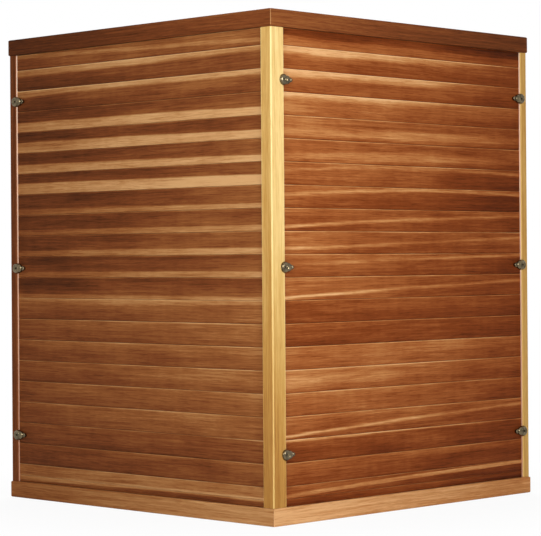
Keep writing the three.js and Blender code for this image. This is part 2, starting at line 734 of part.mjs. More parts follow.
const headerX = [openingStart + SEAT, openingEnd - SEAT];
const headerBody = box(headerX, [RECESS, WALL], [headerFoot, wallHead]);
const headerStop = box(
  [openingStart + STOP_WIDTH + SEAT, openingEnd - STOP_WIDTH - SEAT],
  [STOP_DEPTH, WALL],
  [headerFoot - STOP_WIDTH, headerFoot + PAST],
);
piece(front.group, 'front_header', joined(headerBody, headerStop), PALE_CEDAR);

// Door glass, with holes for the hinge clamps and the handle studs
const glassX = [openingStart + DOOR_GAP, openingEnd - DOOR_GAP];
const glassY = [GLASS_DEPTH, GLASS_DEPTH + DOOR_GLASS];
const glassZ = [BASE_HEIGHT + DOOR_FLOOR_GAP, headerFoot - DOOR_GAP];
const hingeX = openingStart + DOOR_GAP / 2;
const hingeY = RECESS - SEAT - KNUCKLE_RADIUS;
const clampX = hingeX + (HINGE_REACH + KNUCKLE_RADIUS) / 2;
const hinges = { upper: glassZ[1] - HINGE_INSET, lower: glassZ[0] + HINGE_INSET };
const gripX = glassX[1] - GRIP_EDGE;
const gripZ = BASE_HEIGHT + GRIP_HEIGHT;
const studLevels = spaced(2, POST_PITCH, gripZ);

function throughGlass(radius, x, z) {
  const hole = rod(radius + SEAT, glassY[0] - PAST, glassY[1] + PAST);
  return solid(turnedInward(hole, x, z, HOLE_ROUND));
}

const glassHoles = [
  ...Object.values(hinges).map((z) => throughGlass(CLAMP_RADIUS, clampX, z)),
  ...studLevels.map((z) => throughGlass(STUD_RADIUS, gripX, z)),
];
piece(front.group, 'door_glass', without(box(glassX, glassY, glassZ), ...glassHoles), TINTED_GLASS);

// Hinges: a leaf with the pin and two knuckles on the front panel,
// and a clamp with the middle knuckle on the glass
function knuckle(radius, z0, z1) {
  return solid(turnedUpright(rod(radius, z0, z1), hingeX, hingeY));
}

function makeHinge(name, z) {
  const foot = z - HINGE_HEIGHT / 2;
  const head = z + HINGE_HEIGHT / 2;
  const leafY = [RECESS - SEAT - LEAF, RECESS - SEAT];
  const leafEdge = hingeX - KNUCKLE_RADIUS - KNUCKLE_PLAY;
  const fixed = [
    box([hingeX - HINGE_REACH, leafEdge], leafY, [foot, head]),
    box([leafEdge - LEAF, hingeX], leafY, [foot, foot + KNUCKLE_END]),
    box([leafEdge - LEAF, hingeX], leafY, [head - KNUCKLE_END, head]),
    knuckle(KNUCKLE_RADIUS, foot, foot + KNUCKLE_END),
    knuckle(KNUCKLE_RADIUS, head - KNUCKLE_END, head),
    knuckle(PIN_RADIUS, foot, head),
  ];
  piece(front.group, `${name}_hinge_leaf`, joined(...fixed), STEEL);

  const middle = [foot + KNUCKLE_END + SEAT, head - KNUCKLE_END - SEAT];
  const outerY = [glassY[0] - SEAT - LEAF, glassY[0] - SEAT];
  const innerY = [glassY[1] + SEAT, glassY[1] + SEAT + INNER_LEAF];
  const clampEdge = hingeX + KNUCKLE_RADIUS + KNUCKLE_PLAY;
  const clamp = [
    box([clampEdge, hingeX + HINGE_REACH], outerY, [foot, head]),
    box([hingeX, clampEdge + LEAF], outerY, middle),
    knuckle(KNUCKLE_RADIUS, ...middle),
    solid(turnedInward(rod(CLAMP_RADIUS, outerY[0], innerY[1]), clampX, z, HOLE_ROUND)),
    box([clampEdge, hingeX + HINGE_REACH], innerY, [foot, head]),
  ];
  const bore = knuckle(PIN_RADIUS + SEAT, foot - PAST, head + PAST);
  piece(front.group, `${name}_glass_clamp`, without(joined(...clamp), bore), STEEL);
}

for (const [name, z] of Object.entries(hinges)) makeHinge(name, z);

// Handles: a round grip on two standoffs on each face of the glass, held by studs through it
const gripFoot = gripZ - GRIP_LENGTH / 2;
const gripHead = gripZ + GRIP_LENGTH / 2;
const gripProfile = [
  [0, gripFoot],
  [GRIP_RADIUS - GRIP_EASE, gripFoot],
  [GRIP_RADIUS, gripFoot + GRIP_EASE],
  [GRIP_RADIUS, gripHead - GRIP_EASE],
  [GRIP_RADIUS - GRIP_EASE, gripHead],
  [0, gripHead],
];

function standoffs(radius, y0, y1) {
  return studLevels.map((z) => solid(turnedInward(rod(radius, y0, y1), gripX, z, HOLE_ROUND)));
}

const outsideGripY = glassY[0] - GRIP_GAP - GRIP_RADIUS;
const insideGripY = glassY[1] + GRIP_GAP + GRIP_RADIUS;
const studEnd = glassY[1] + SEAT + STUD_SOCKET;
const outsideHandle = joined(
  solid(turnedUpright(gripProfile, gripX, outsideGripY)),
  ...standoffs(STANDOFF_RADIUS, outsideGripY, glassY[0] - SEAT),
  ...standoffs(STUD_RADIUS, glassY[0] - STUD_SOCKET, studEnd - SEAT),
);
piece(front.group, 'outside_handle', outsideHandle, HEMLOCK);
const insideHandle = joined(
  solid(turnedUpright(gripProfile, gripX, insideGripY)),
  ...standoffs(STANDOFF_RADIUS, glassY[1] + SEAT, insideGripY),
);
const studSockets = standoffs(STUD_RADIUS + SEAT, glassY[1], studEnd);
piece(front.group, 'inside_handle', without(insideHandle, ...studSockets), HEMLOCK);

// Control panel under the right window, with a sunk display and four push buttons
const controlX = fromRight(windowMiddle);
const controlZ = windowFoot - CONTROL_DROP;
const controlBack = RECESS - SEAT;
const controlFace = controlBack - CONTROL_DEPTH;
const buttonTop = controlFace - BUTTON_PROUD;
const buttonInner = buttonTop + BUTTON_LENGTH;
const socketFloor = buttonInner + BUTTON_TRAVEL + SEAT;
const buttons = [
  { name: 'power_button', column: -1, row: 1 },
  { name: 'light_button', column: 1, row: 1 },
  { name: 'cooler_button', column: -1, row: -1 },
  { name: 'warmer_button', column: 1, row: -1 },
];

function buttonPlace({ column, row }) {
  const x = controlX + (column * BUTTON_SPREAD) / 2;
  const z = controlZ - BUTTON_DROP + (row * BUTTON_RISE) / 2;
  return [x, z];
}

const controlShape = roundedRectangle(CONTROL_WIDTH, CONTROL_HEIGHT, CONTROL_CORNER);
const controlSlab = swept(controlShape, CONTROL_DEPTH).applyMatrix4(SWEEP_OUTWARDS);
const controlCase = solid(controlSlab.translate(controlX, controlBack, controlZ));
const displayZ = controlZ + DISPLAY_RISE;
const displayRecess = box(
  [controlX - DISPLAY_WIDTH / 2, controlX + DISPLAY_WIDTH / 2],
  [controlFace - PAST, controlFace + DISPLAY_DEPTH],
  [displayZ - DISPLAY_HEIGHT / 2, displayZ + DISPLAY_HEIGHT / 2],
);
const socket = rod(BUTTON_RADIUS + SEAT, controlFace - PAST, socketFloor);
const buttonSockets = buttons.map((button) => solid(turnedInward(socket, ...buttonPlace(button))));
piece(front.group, 'control_panel', without(controlCase, displayRecess, ...buttonSockets), BLACK_PLASTIC);

const buttonProfile = [
  [0, buttonTop],
  [BUTTON_RADIUS - BUTTON_EASE, buttonTop],
  [BUTTON_RADIUS, buttonTop + BUTTON_EASE],
  [BUTTON_RADIUS, buttonInner],
  [0, buttonInner],
];
for (const button of buttons) {
  piece(front.group, button.name, solid(turnedInward(buttonProfile, ...buttonPlace(button))), KEY_PLASTIC);
}

// Bench top: slats that turn the rear corner together, on battens
const slatWidth = (BENCH_DEPTH - (BENCH_SLATS - 1) * SLAT_GAP) / BENCH_SLATS;
const benchEnd = SEAT - innerHalf;

function cornerSlat(near, far) {
  const back = innerHalf - near;
  const face = innerHalf - far;
  const outer = [[benchEnd, back], [back, back], [back, benchEnd]];
  const inner = [[face, benchEnd], [face, face], [benchEnd, face]];
  return raised([...outer, ...inner], benchTop - SLAT, benchTop);
}

const slats = Array.from({ length: BENCH_SLATS }, (_, i) => {
  const near = SEAT + i * (slatWidth + SLAT_GAP);
  return cornerSlat(near, near + slatWidth);
});
const benchBack = innerHalf - SEAT;
const benchFace = innerHalf - SEAT - BENCH_DEPTH;
const battenZ = [benchFoot, benchTop - SLAT + VEE];
const diagonal = BATTEN_WIDTH / Math.SQRT2;
const cornerPlan = [
  [benchBack - diagonal, benchBack],
  [benchFace - diagonal / 2, benchFace + diagonal / 2],
  [benchFace + diagonal / 2, benchFace - diagonal / 2],
  [benchBack, benchBack - diagonal],
  [benchBack, benchBack],
];
const cornerBatten = raised(cornerPlan, ...battenZ);
const legMiddle = (benchEnd + benchFace) / 2;
const battenPlaces = [benchEnd + BATTEN_WIDTH, legMiddle, benchFace - BATTEN_WIDTH];
const legBattens = battenPlaces.flatMap((place) => {
  const width = [place - BATTEN_WIDTH / 2, place + BATTEN_WIDTH / 2];
  return [box(width, [benchFace, benchBack], battenZ), box([benchFace, benchBack], width, battenZ)];
});
piece(cabin, 'bench_top', joined(...slats, cornerBatten, ...legBattens), HEMLOCK);

// Bench fronts: panels with air slots, set back under the edge of the seat
const frontFace = benchFace + BENCH_SETBACK;
const frontBack = frontFace + BENCH_FRONT;

function benchFront(start, end) {
  const top = benchFoot - SEAT;
  const depth = [frontFace, frontBack];
  const middle = (start + end) / 2;
  const slots = [];
  for (let z = wallFoot + FRONT_RAIL; z + FRONT_SLOT < top - FRONT_RAIL / 2; z += FRONT_SLOT_PITCH) {
    const through = [[frontFace - PAST, frontBack + PAST], [z, z + FRONT_SLOT]];
    slots.push(box([start + FRONT_RAIL, middle - FRONT_RAIL / 2], ...through));
    slots.push(box([middle + FRONT_RAIL / 2, end - FRONT_RAIL], ...through));
  }
  return without(box([start, end], depth, [wallFoot, top]), ...slots);
}

piece(cabin, 'left_bench_front', benchFront(benchEnd, frontBack), HEMLOCK);
const rightBench = new THREE.Group();
rightBench.rotation.z = -QUARTER;
cabin.add(rightBench);
piece(rightBench, 'right_bench_front', benchFront(SEAT - frontFace, -benchEnd), HEMLOCK);

// Heaters on the rear linings, each behind a slatted guard
function makeHeater(side, wall) {
  const middle = wall.length / 2;
  const heaterZ = BASE_HEIGHT + HEATER_LEVEL;
  const seat = WALL + SEAT;
  const face = seat + GUARD_DEPTH;
  const around = (margin) => [
    [middle - HEATER_WIDTH / 2 - margin, middle + HEATER_WIDTH / 2 + margin],
    [heaterZ - HEATER_HEIGHT / 2 - margin, heaterZ + HEATER_HEIGHT / 2 + margin],
  ];
  const [plateX, plateZ] = around(0);
  piece(wall.group, `${side}_heater`, box(plateX, [seat, seat + HEATER], plateZ), CARBON);

  const [roomX, roomZ] = around(SEAT);
  const [rimX, rimZ] = around(SEAT + GUARD_MARGIN);
  const room = box(roomX, [seat - PAST, face - GUARD_FACE], roomZ);
  const count = Math.floor((roomZ[1] - roomZ[0] - GUARD_SLOT) / GUARD_SLOT_PITCH) + 1;
  const slots = spaced(count, GUARD_SLOT_PITCH, heaterZ).flatMap((z) => {
    const through = [[seat, face + PAST], [z - GUARD_SLOT / 2, z + GUARD_SLOT / 2]];
    return [
      box([roomX[0], middle - GUARD_SLOT / 2], ...through),
      box([middle + GUARD_SLOT / 2, roomX[1]], ...through),
    ];
  });
  const guard = without(box(rimX, [seat, face], rimZ), room, ...slots);
  piece(wall.group, `${side}_heater_guard`, guard, HEMLOCK);
}

makeHeater('left', leftRear);
makeHeater('right', rightRear);

export default cabin;
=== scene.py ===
# %% [markdown]
# A corner sauna cabin, dressed for the camera.
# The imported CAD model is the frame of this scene: its solids stay where they are, and each one either
# gets a finish of its own or is hidden behind a finer piece that stands for it.
# The cabin is seen from behind, so the two rear walls, their posts, trim and bolts get the most care.
# Left and right are as seen from in front of the door.
# Lengths are in metres, and in millimetres where small pieces are turned or cut from blocks.

# %% Load the frame and keep its box
import json
import math
from contextlib import contextmanager

import bpy
from mathutils import Matrix, Vector


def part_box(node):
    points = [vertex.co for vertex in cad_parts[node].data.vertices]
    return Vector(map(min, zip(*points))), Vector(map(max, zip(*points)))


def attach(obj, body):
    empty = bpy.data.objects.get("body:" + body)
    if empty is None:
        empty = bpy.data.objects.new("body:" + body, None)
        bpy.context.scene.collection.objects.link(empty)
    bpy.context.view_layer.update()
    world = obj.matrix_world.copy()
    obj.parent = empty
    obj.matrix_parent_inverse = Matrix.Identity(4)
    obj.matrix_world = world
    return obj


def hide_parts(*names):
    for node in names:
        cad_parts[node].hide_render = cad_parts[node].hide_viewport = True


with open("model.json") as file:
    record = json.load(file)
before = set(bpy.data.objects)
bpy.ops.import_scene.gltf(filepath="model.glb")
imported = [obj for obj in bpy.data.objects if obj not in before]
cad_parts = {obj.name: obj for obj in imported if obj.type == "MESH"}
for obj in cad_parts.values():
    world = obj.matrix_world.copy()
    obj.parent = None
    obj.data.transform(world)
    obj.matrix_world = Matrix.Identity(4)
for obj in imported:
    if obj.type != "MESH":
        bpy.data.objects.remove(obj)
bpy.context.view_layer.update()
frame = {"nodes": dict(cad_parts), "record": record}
nodes = frame["nodes"]
record = frame["record"]
slot_of = {row["node"]: row["material_slot"] for row in record["subparts"]}
body_of = {node: body for body, members in record["behaviour"]["bodies"].items() for node in members}
scene = bpy.context.scene
scene.view_settings.view_transform = "Standard"

# %% [markdown]
# The camera comes first, because every look at the cabin is judged through it.
# It stands head-on to the near corner, near the middle height of the walls. Its place and angles were
# found by fitting straight edges of the cabin, so they hold a small tilt, and the picture is framed a
# little lower than the line of sight, which is the vertical shift.

# %% Camera
UP = Vector((0, 0, 1))
WALL_FACE = 0.764
EYE = Vector((6.265, 6.152, 0.978))
HEADING = math.radians(224.45)
PITCH = math.radians(0.285)
ROLL = math.radians(-0.411)
LENS = 139.72
SENSOR = 36
FRAMED_LOWER = -0.0333

ahead = Vector((math.cos(HEADING) * math.cos(PITCH), math.sin(HEADING) * math.cos(PITCH), math.sin(PITCH)))
level_right = ahead.cross(UP).normalized()
level_up = level_right.cross(ahead)
right = level_right * math.cos(ROLL) + level_up * math.sin(ROLL)
up = level_up * math.cos(ROLL) - level_right * math.sin(ROLL)
camera = bpy.data.objects.new("camera", bpy.data.cameras.new("camera"))
scene.collection.objects.link(camera)
camera.matrix_world = Matrix.Translation(EYE) @ Matrix((right, up, -ahead)).transposed().to_4x4()
camera.data.lens = LENS
camera.data.sensor_width = SENSOR
camera.data.shift_y = FRAMED_LOWER
camera.data.clip_end = 100
scene.camera = camera
print("camera:", round((EYE - Vector((WALL_FACE, WALL_FACE, EYE.z))).length, 2), "m from the near corner")

# %% [markdown]
# Shader maths reads best as plain expressions. This small class wraps a socket, and its operators add
# Math nodes, so that 1 - mask or grain * 0.2 can be written as they are.

# %% Sockets with operators
class Wire:
    """A socket of a node tree; arithmetic on it adds Math nodes."""

    def __init__(self, socket):
        self.socket = socket

    def maths(self, operation, *values):
        node = self.socket.id_data.nodes.new("ShaderNodeMath")
        node.operation = operation
        for place, value in enumerate(values):
            plug(node.inputs[place], value)
        return Wire(node.outputs[0])

    def __add__(self, other):
        return self.maths("ADD", self, other)

    def __radd__(self, other):
        return self.maths("ADD", other, self)

    def __sub__(self, other):
        return self.maths("SUBTRACT", self, other)

    def __rsub__(self, other):
        return self.maths("SUBTRACT", other, self)

    def __mul__(self, other):
        return self.maths("MULTIPLY", self, other)

    def __rmul__(self, other):
        return self.maths("MULTIPLY", other, self)

    def __truediv__(self, other):
        return self.maths("DIVIDE", self, other)

    def __rtruediv__(self, other):
        return self.maths("DIVIDE", other, self)

    def __abs__(self):
        return self.maths("ABSOLUTE", self)

    def floor(self):
        return self.maths("FLOOR", self)

    def sine(self):
        return self.maths("SINE", self)

    def above(self, limit):
        return self.maths("GREATER_THAN", self, limit)

    def largest(self, other):
        return self.maths("MAXIMUM", self, other)


def plug(target, value):
    """Links a wire to a socket, or sets the socket's own value."""
    if isinstance(value, Wire):
        target.id_data.links.new(value.socket, target)
    else:
        target.default_value = value


print("sockets can be added, multiplied and compared")

# %% [markdown]
# A recipe is a material, or the world, under construction. Every node that is not plain maths is added
# by one method: its type, its settings, then the values or links of its sockets. The other methods are
# short names for the nodes that come up again and again.

# %% Recipes for materials
class Recipe:
    """A new material or world: its shader and the nodes that feed it."""

    def __init__(self, name, kind="materials", shader="Principled BSDF"):
        self.owner = getattr(bpy.data, kind).new(name)
        self.owner.use_nodes = True
        self.tree = self.owner.node_tree
        self.shader = self.tree.nodes[shader]

    def node(self, kind, settings=None, inputs=None, output=0):
        made = self.tree.nodes.new("ShaderNode" + kind)
        for name, value in (settings or {}).items():
            if name == "stops":
                set_stops(made.color_ramp, value)
            else:
                setattr(made, name, value)
        for name, value in (inputs or {}).items():
            plug(made.inputs[name], value)
        return Wire(made.outputs[output])

    def feed(self, **inputs):
        for name, value in inputs.items():
            plug(self.shader.inputs[name.replace("_", " ")], value)
        return self.owner

    def place(self):
        return self.node("TexCoord", output="Object")

    def plus(self, first, second):
        return self.node("VectorMath", {"operation": "ADD"}, {0: first, 1: second})

    def along(self, place, direction):
        return self.node("VectorMath", {"operation": "DOT_PRODUCT"}, {0: place, 1: direction}, "Value")

    def noise(self, place, stretch, offset=(0, 0, 0), detail=2.0, roughness=0.5):
        """Noise on a place whose directions are first scaled and then moved along."""
        scaled = self.node("VectorMath", {"operation": "MULTIPLY"}, {0: place, 1: stretch})
        moved = self.plus(scaled, offset)
        inputs = {"Vector": moved, "Scale": 1.0, "Detail": detail, "Roughness": roughness}
        return self.node("TexNoise", inputs=inputs, output="Fac")

    def split(self, vector):
        made = self.node("SeparateXYZ", inputs={"Vector": vector}).socket.node
        return [Wire(output) for output in made.outputs]

    def vector(self, x, y, z):
        return self.node("CombineXYZ", inputs={"X": x, "Y": y, "Z": z})

    def smooth(self, value, low, high):
        inputs = {"Value": value, "From Min": low, "From Max": high}
        return self.node("MapRange", {"interpolation_type": "SMOOTHSTEP"}, inputs)

    def ramp(self, value, stops):
        return self.node("ValToRGB", {"stops": stops}, {"Fac": value}, "Color")

    def mix(self, share, first, second):
        return self.node("Mix", {"data_type": "RGBA"}, {0: share, 6: first, 7: second}, 2)

    def bump(self, height, strength, distance):
        return self.node("Bump", inputs={"Height": height, "Strength": strength, "Distance": distance})


def set_stops(ramp, stops):
    while len(ramp.elements) < len(stops):
        ramp.elements.new(1.0)
    for element, (place, colour) in zip(ramp.elements, stops):
        element.position = place
        element.color = colour


def paint(red, green, blue):
    """A colour as written on a colour card, 0 to 255, in the linear values that shaders use."""
    linear = [((c / 255 + 0.055) / 1.055) ** 2.4 if c > 10 else c / 255 / 12.92 for c in (red, green, blue)]
    return (*linear, 1.0)


def shaded(colour, factor, lift=0.0):
    """A colour made darker or lighter."""
    return (*(min(1.0, value * factor + lift) for value in colour[:3]), 1.0)


print("half grey on a colour card is", round(paint(128, 128, 128)[0], 3), "to a shader")

# %% [markdown]
# Cedar runs from dark red-brown heartwood to nearly yellow sapwood, and one board often holds both.
# So the woods here are made as one number, from dark to pale, that a colour ramp turns into colour.
# Grain is noise stretched along the board: slow swings for the broad figure, tighter streaks for the
# growth rings and very fine lines for the fibres. The same noise roughens and dents the surface.

# %% Tones of the woods, dark to pale
def even_stops(*colours):
    """Colours as the stops of a ramp, evenly spread."""
    return [(place / (len(colours) - 1), paint(*colour)) for place, colour in enumerate(colours)]


BROWN_CEDAR = even_stops(
    (48, 23, 9), (84, 42, 18), (117, 62, 30), (145, 89, 46), (176, 124, 75), (204, 157, 106),
)
RED_CEDAR = even_stops(
    (56, 24, 8), (96, 41, 13), (127, 62, 25), (158, 92, 46), (190, 131, 78), (220, 170, 118),
)
FRESH_CEDAR = even_stops((190, 140, 112), (228, 190, 162), (246, 222, 202))
HEMLOCK = even_stops((160, 112, 66), (206, 160, 104), (230, 192, 140))
PLYWOOD = even_stops((160, 122, 76), (203, 168, 116), (222, 192, 146))
PALE_CEDAR = [
    (0.0, paint(142, 83, 33)),
    (0.4, paint(186, 139, 71)),
    (0.7, paint(212, 174, 105)),
    (1.0, paint(238, 211, 147)),
]
print("cedar runs over", len(RED_CEDAR), "tones, hemlock over", len(HEMLOCK))

# %% Grain and plain wood
WOOD_SHINE = 0.03
# Stretches over which a tone changes
POST_SPAN = (0.1, 1.5)
BOARD_SPAN = (-0.75, 0.75)
LIT_SIDE_SPAN = (0.1, 0.8)
ALONG_X = (1, 0, 0)
ALONG_Y = (0, 1, 0)
ALONG_FRONT = (1, -1, 0)


def grain_number(recipe, place, seed=0.0, swing=0.18, streak=0.24, dash=0.10, fibre=0.14):
    """Grain of a wood whose length runs along the first direction of place, as a number about zero,
    followed by its fibres and growth rings alone."""
    drift = recipe.noise(place, (0.9, 2.0, 2.0), (17 * seed, 5 * seed, 3), detail=1.0)
    sway = drift * 0.03
    bent = recipe.plus(place, recipe.vector(0.0, sway, sway))
    broad = recipe.noise(bent, (1.5, 26, 26), (9 * seed, 0, 0), detail=3.0, roughness=0.65)
    rings = recipe.noise(bent, (2.6, 135, 135), (4 * seed, 2, 0), detail=3.0, roughness=0.65)
    dashes = recipe.noise(bent, (11, 330, 330), (0, 3 * seed, 5))
    fine = recipe.noise(bent, (32, 1500, 1500), (0, 7, 0), detail=1.0)
    swings = (broad - 0.5) * (2 * swing) + (rings - 0.5) * (2 * streak)
    lines = recipe.smooth(dashes, 0.50, 0.66) * dash
    return swings - lines + (fine - 0.5) * (2 * fibre), fine, rings


def grain_place(recipe, direction):
    """Object coordinates turned so that the first direction runs along the grain."""
    place = recipe.place()
    length = Vector(direction).normalized()
    second = UP if abs(length.z) < 0.5 else Vector(ALONG_X)
    third = length.cross(second)
    return recipe.vector(*(recipe.along(place, axis) for axis in (length, second, third)))


def wood_surface(recipe, colour, fine, rings, rough=0.46, strength=0.25, distance=0.0006):
    """Feeds a wood its colour, and lets fibres and rings roughen and dent its surface."""
    return recipe.feed(
        Base_Color=colour,
        Roughness=rough + (fine - 0.5) * 0.3,
        Specular_IOR_Level=WOOD_SHINE,
        Normal=recipe.bump(rings * 0.6 + fine * 0.4, strength, distance),
    )


def wood(name, direction, tones, middle, seed=0.0, rough=0.46, reveal=None, **grain):
    """A plain piece of wood with grain along a direction; its tone may change from end to end.
    A lit side is the direction of faces painted paler as painted light, and how much at foot and head."""
    recipe = Recipe(name)
    number, fine, rings = grain_number(recipe, grain_place(recipe, direction), seed, **grain)
    if isinstance(middle, tuple):
        first, last = middle
        span = POST_SPAN if direction == UP else BOARD_SPAN
        middle = recipe.smooth(recipe.along(recipe.place(), direction), *span) * (last - first) + first
    # Painted light: faces that look one way are painted paler, more so towards their head
    if reveal:
        facing = recipe.along(recipe.node("NewGeometry", output="Normal"), reveal[0])
        rise = recipe.smooth(recipe.along(recipe.place(), UP), *LIT_SIDE_SPAN)
        middle = middle + recipe.smooth(facing, 0.8, 0.95) * (rise * (reveal[2] - reveal[1]) + reveal[1])
    return wood_surface(recipe, recipe.ramp(number + middle, tones), fine, rings, rough)


print("wood reflects little: specular level", WOOD_SHINE)

# %% [markdown]
# The cladding of each rear wall is a stack of separate boards with chamfered edges that meet in small
# vee grooves. A board is modelled in edit mode: a block is cut to size, its long edges are divided at
# stations so that tone and sapwood can change along it, and the face edges are bevelled.
# Grooves cut into one sheet would be quicker, but then no board could have a look of its own.
# The helpers here select and shape in code what a hand would select and shape on the screen.

# %% Selecting, shaping and adding pieces
MM = 0.001


def pick(*pieces):
    """Selects these pieces alone; the first is the active one."""
    bpy.ops.object.select_all(action="DESELECT")
    for piece in pieces:
        piece.select_set(True)
    if pieces:
        bpy.context.view_layer.objects.active = pieces[0]


def added():
    """The piece that an operator has just added."""
    return bpy.context.view_layer.objects.active


@contextmanager
def editing(everything=True):
    """Edit mode of the active piece, with everything selected or just what was selected before."""
    bpy.ops.object.mode_set(mode="EDIT")
    if everything:
        bpy.ops.mesh.select_all(action="SELECT")
    yield
    bpy.ops.object.mode_set(mode="OBJECT")


def select_edges(piece, test):
    """Selects the edges of the active piece whose two ends pass a test."""
    with editing(everything=False):
        bpy.ops.mesh.select_mode(type="EDGE")
        bpy.ops.mesh.select_all(action="DESELECT")
    for edge in piece.data.edges:
        edge.select = test(*(piece.data.vertices[i].co for i in edge.vertices))


def apply_modifier(piece, kind, **settings):
    pick(piece)
    modifier = piece.modifiers.new(kind.lower(), kind)
    for name, value in settings.items():
        setattr(modifier, name, value)
    bpy.ops.object.modifier_apply(modifier=modifier.name)


def ease(piece, width, segments, degrees, clamp=True):
    """Rounds every edge that is sharper than an angle."""
    apply_modifier(
        piece, "BEVEL", width=width, segments=segments, limit_method="ANGLE",
        angle_limit=math.radians(degrees), use_clamp_overlap=clamp,
    )


def smooth_by_angle(piece, degrees=32):
    pick(piece)
    bpy.ops.object.shade_smooth_by_angle(angle=math.radians(degrees))


def level_faces(piece):
    """Keeps the broad faces flat to the light, so that only the rounded strips turn it."""
    smooth_by_angle(piece)
    apply_modifier(piece, "WEIGHTED_NORMAL", keep_sharp=True)


def block(size, bevel=0.0, place=(0, 0, 0)):
    """A block with rounded edges, from its size in millimetres, centred on a place."""
    pick()
    bpy.ops.mesh.primitive_cube_add(size=1)
    piece = added()
    piece.data.transform(Matrix.Diagonal([value * MM for value in size]).to_4x4())
    if bevel:
        with editing():
            bpy.ops.mesh.bevel(offset=bevel * MM, segments=2, affect="EDGES")
    piece.data.transform(Matrix.Translation([value * MM for value in place]))
    return piece


def join(first, *others):
    if others:
        pick(first, *others)
        bpy.ops.object.join()
    return first


def add_piece(piece, name, slot, *materials, body="cabin"):
    """Names a finished piece and gives it its finish and the body it moves with; the slot is not used."""
    piece.name = name
    piece.data.name = name
    piece.data.materials.clear()
    for material in materials:
        piece.data.materials.append(material)
    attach(piece, body)
    return piece


def stand_for(node, piece, name, *materials):
    """Adds a finished piece that stands for a CAD node, which is then hidden."""
    add_piece(piece, name, slot_of[node], *materials, body=body_of[node])
    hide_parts(node)
    return piece


print("helpers ready for", len(nodes), "nodes")

# %% One board in edit mode
STATIONS = 16
CHAMFER = 0.0024
JOINT = 0.0004


def model_board(length, depth, height):
    """A board with its length on x, its face at y = 0 and its foot at z = 0."""
    size = [value / MM for value in (length, depth, height)]
    board = block(size, place=[value / 2 for value in size])
    select_edges(board, lambda a, b: abs(a.x - b.x) > length / 2)
    with editing(everything=False):
        bpy.ops.mesh.subdivide(number_cuts=STATIONS - 1)
    select_edges(board, lambda a, b: max(a.y, b.y) < depth / 4 and abs(a.z - b.z) < height / 4)
    with editing(everything=False):
        bpy.ops.mesh.bevel(offset=CHAMFER, segments=2, profile=0.6)
    return board


print("each board has", STATIONS, "stations and a chamfer of", CHAMFER / MM, "mm")

# %% [markdown]
# Each board's look is written down as its tone and, where it has one, the sapwood band: where the band's
# lower and upper edges lie, as shares of the board's height, and how strongly it shows, each at the near
# end, in the middle and at the far end. The tone falls towards the far end partly as painted shade, where
# the light falls off. A band's edge may be crisp or melt away, and a board is painted a little paler at
# its head or at its foot, as painted light that falls more on that edge.

# %% Looks of the boards, from the top down
CRISP = 0.045
MELTING = 0.16
# Painted light: how much paler a board is painted at its head, or at its foot where the slope is negative
LIT_HEAD = 0.14
LIT_FOOT = -0.14


def board_look(tone, low=0.0, high=0.0, glow=0.0, soft=CRISP, crown=LIT_HEAD):
    """Tone of the heartwood, where the sapwood lies, how it shows, and which edge takes painted light."""
    return {"tone": tone, "low": low, "high": high, "glow": glow, "soft": soft, "crown": crown}


def sap_at_head(tone, near, middle, far, glow, soft=CRISP):
    return board_look(tone, (1 - near, 1 - middle, 1 - far), 1.4, glow, soft)


def sap_at_foot(tone, width, glow):
    return board_look(tone, -0.4, width, glow, crown=LIT_FOOT)


def sap_between(tone, low, high, glow):
    return board_look(tone, low, high, glow, MELTING)


def sap_streak(tone, start, middle, end, width, glow, soft=CRISP):
    """A thin pale streak that climbs along the board."""
    low, high = (tuple(level + edge for level in (start, middle, end)) for edge in (-width, width))
    return board_look(tone, low, high, glow, soft)


# Tones at the near end, the middle and the far end; their fall towards the far end is partly painted shade
DARK = (0.52, 0.40, 0.28)
DARK_RED = (0.52, 0.42, 0.30)
BROWN = (0.61, 0.53, 0.42)
RED = (0.55, 0.49, 0.36)
GOLD = (0.63, 0.57, 0.39)

RIGHT_REAR_LOOKS = [
    sap_streak(RED, 0.30, 0.62, 0.86, 0.13, (0.25, 0.25, 0.35)),
    sap_at_head(DARK_RED, 0.20, 0.30, 0.36, (0.40, 0.60, 0.55), 0.10),
    sap_at_head(DARK_RED, 0.24, 0.26, 0.36, (0.48, 0.60, 0.60), 0.09),
    sap_at_foot(DARK, (0.36, 0.44, 0.46), (0.80, 0.75, 0.70)),
    sap_at_foot(DARK_RED, (0.36, 0.46, 0.50), (0.80, 0.75, 0.66)),
    sap_at_foot(DARK_RED, (0.28, 0.38, 0.44), (0.76, 0.72, 0.62)),
    sap_at_foot(DARK, (0.44, 0.50, 0.52), (0.88, 0.80, 0.70)),
    sap_at_foot(DARK, (0.22, 0.26, 0.28), (0.44, 0.40, 0.30)),
    sap_at_foot(DARK, (0.26, 0.28, 0.26), (0.46, 0.42, 0.28)),
    sap_at_foot(DARK, (0.28, 0.30, 0.26), (0.48, 0.42, 0.30)),
    sap_at_foot(DARK, (0.26, 0.28, 0.26), (0.50, 0.42, 0.32)),
    sap_at_foot(DARK, (0.16, 0.20, 0.20), (0.45, 0.42, 0.40)),
    sap_at_head(BROWN, 0.16, 0.24, 0.26, 0.24),
    *[board_look(BROWN)] * 5,
    *[board_look(DARK_RED)] * 2,
    board_look((0.74, 0.70, 0.56), -0.4, (0.16, 0.18, 0.14), (0.25, 0.28, 0.10), crown=0.04),
    board_look((0.44, 0.42, 0.46), (0.70, 0.72, 0.10), 1.4, (0.45, 0.45, 0.25)),
]
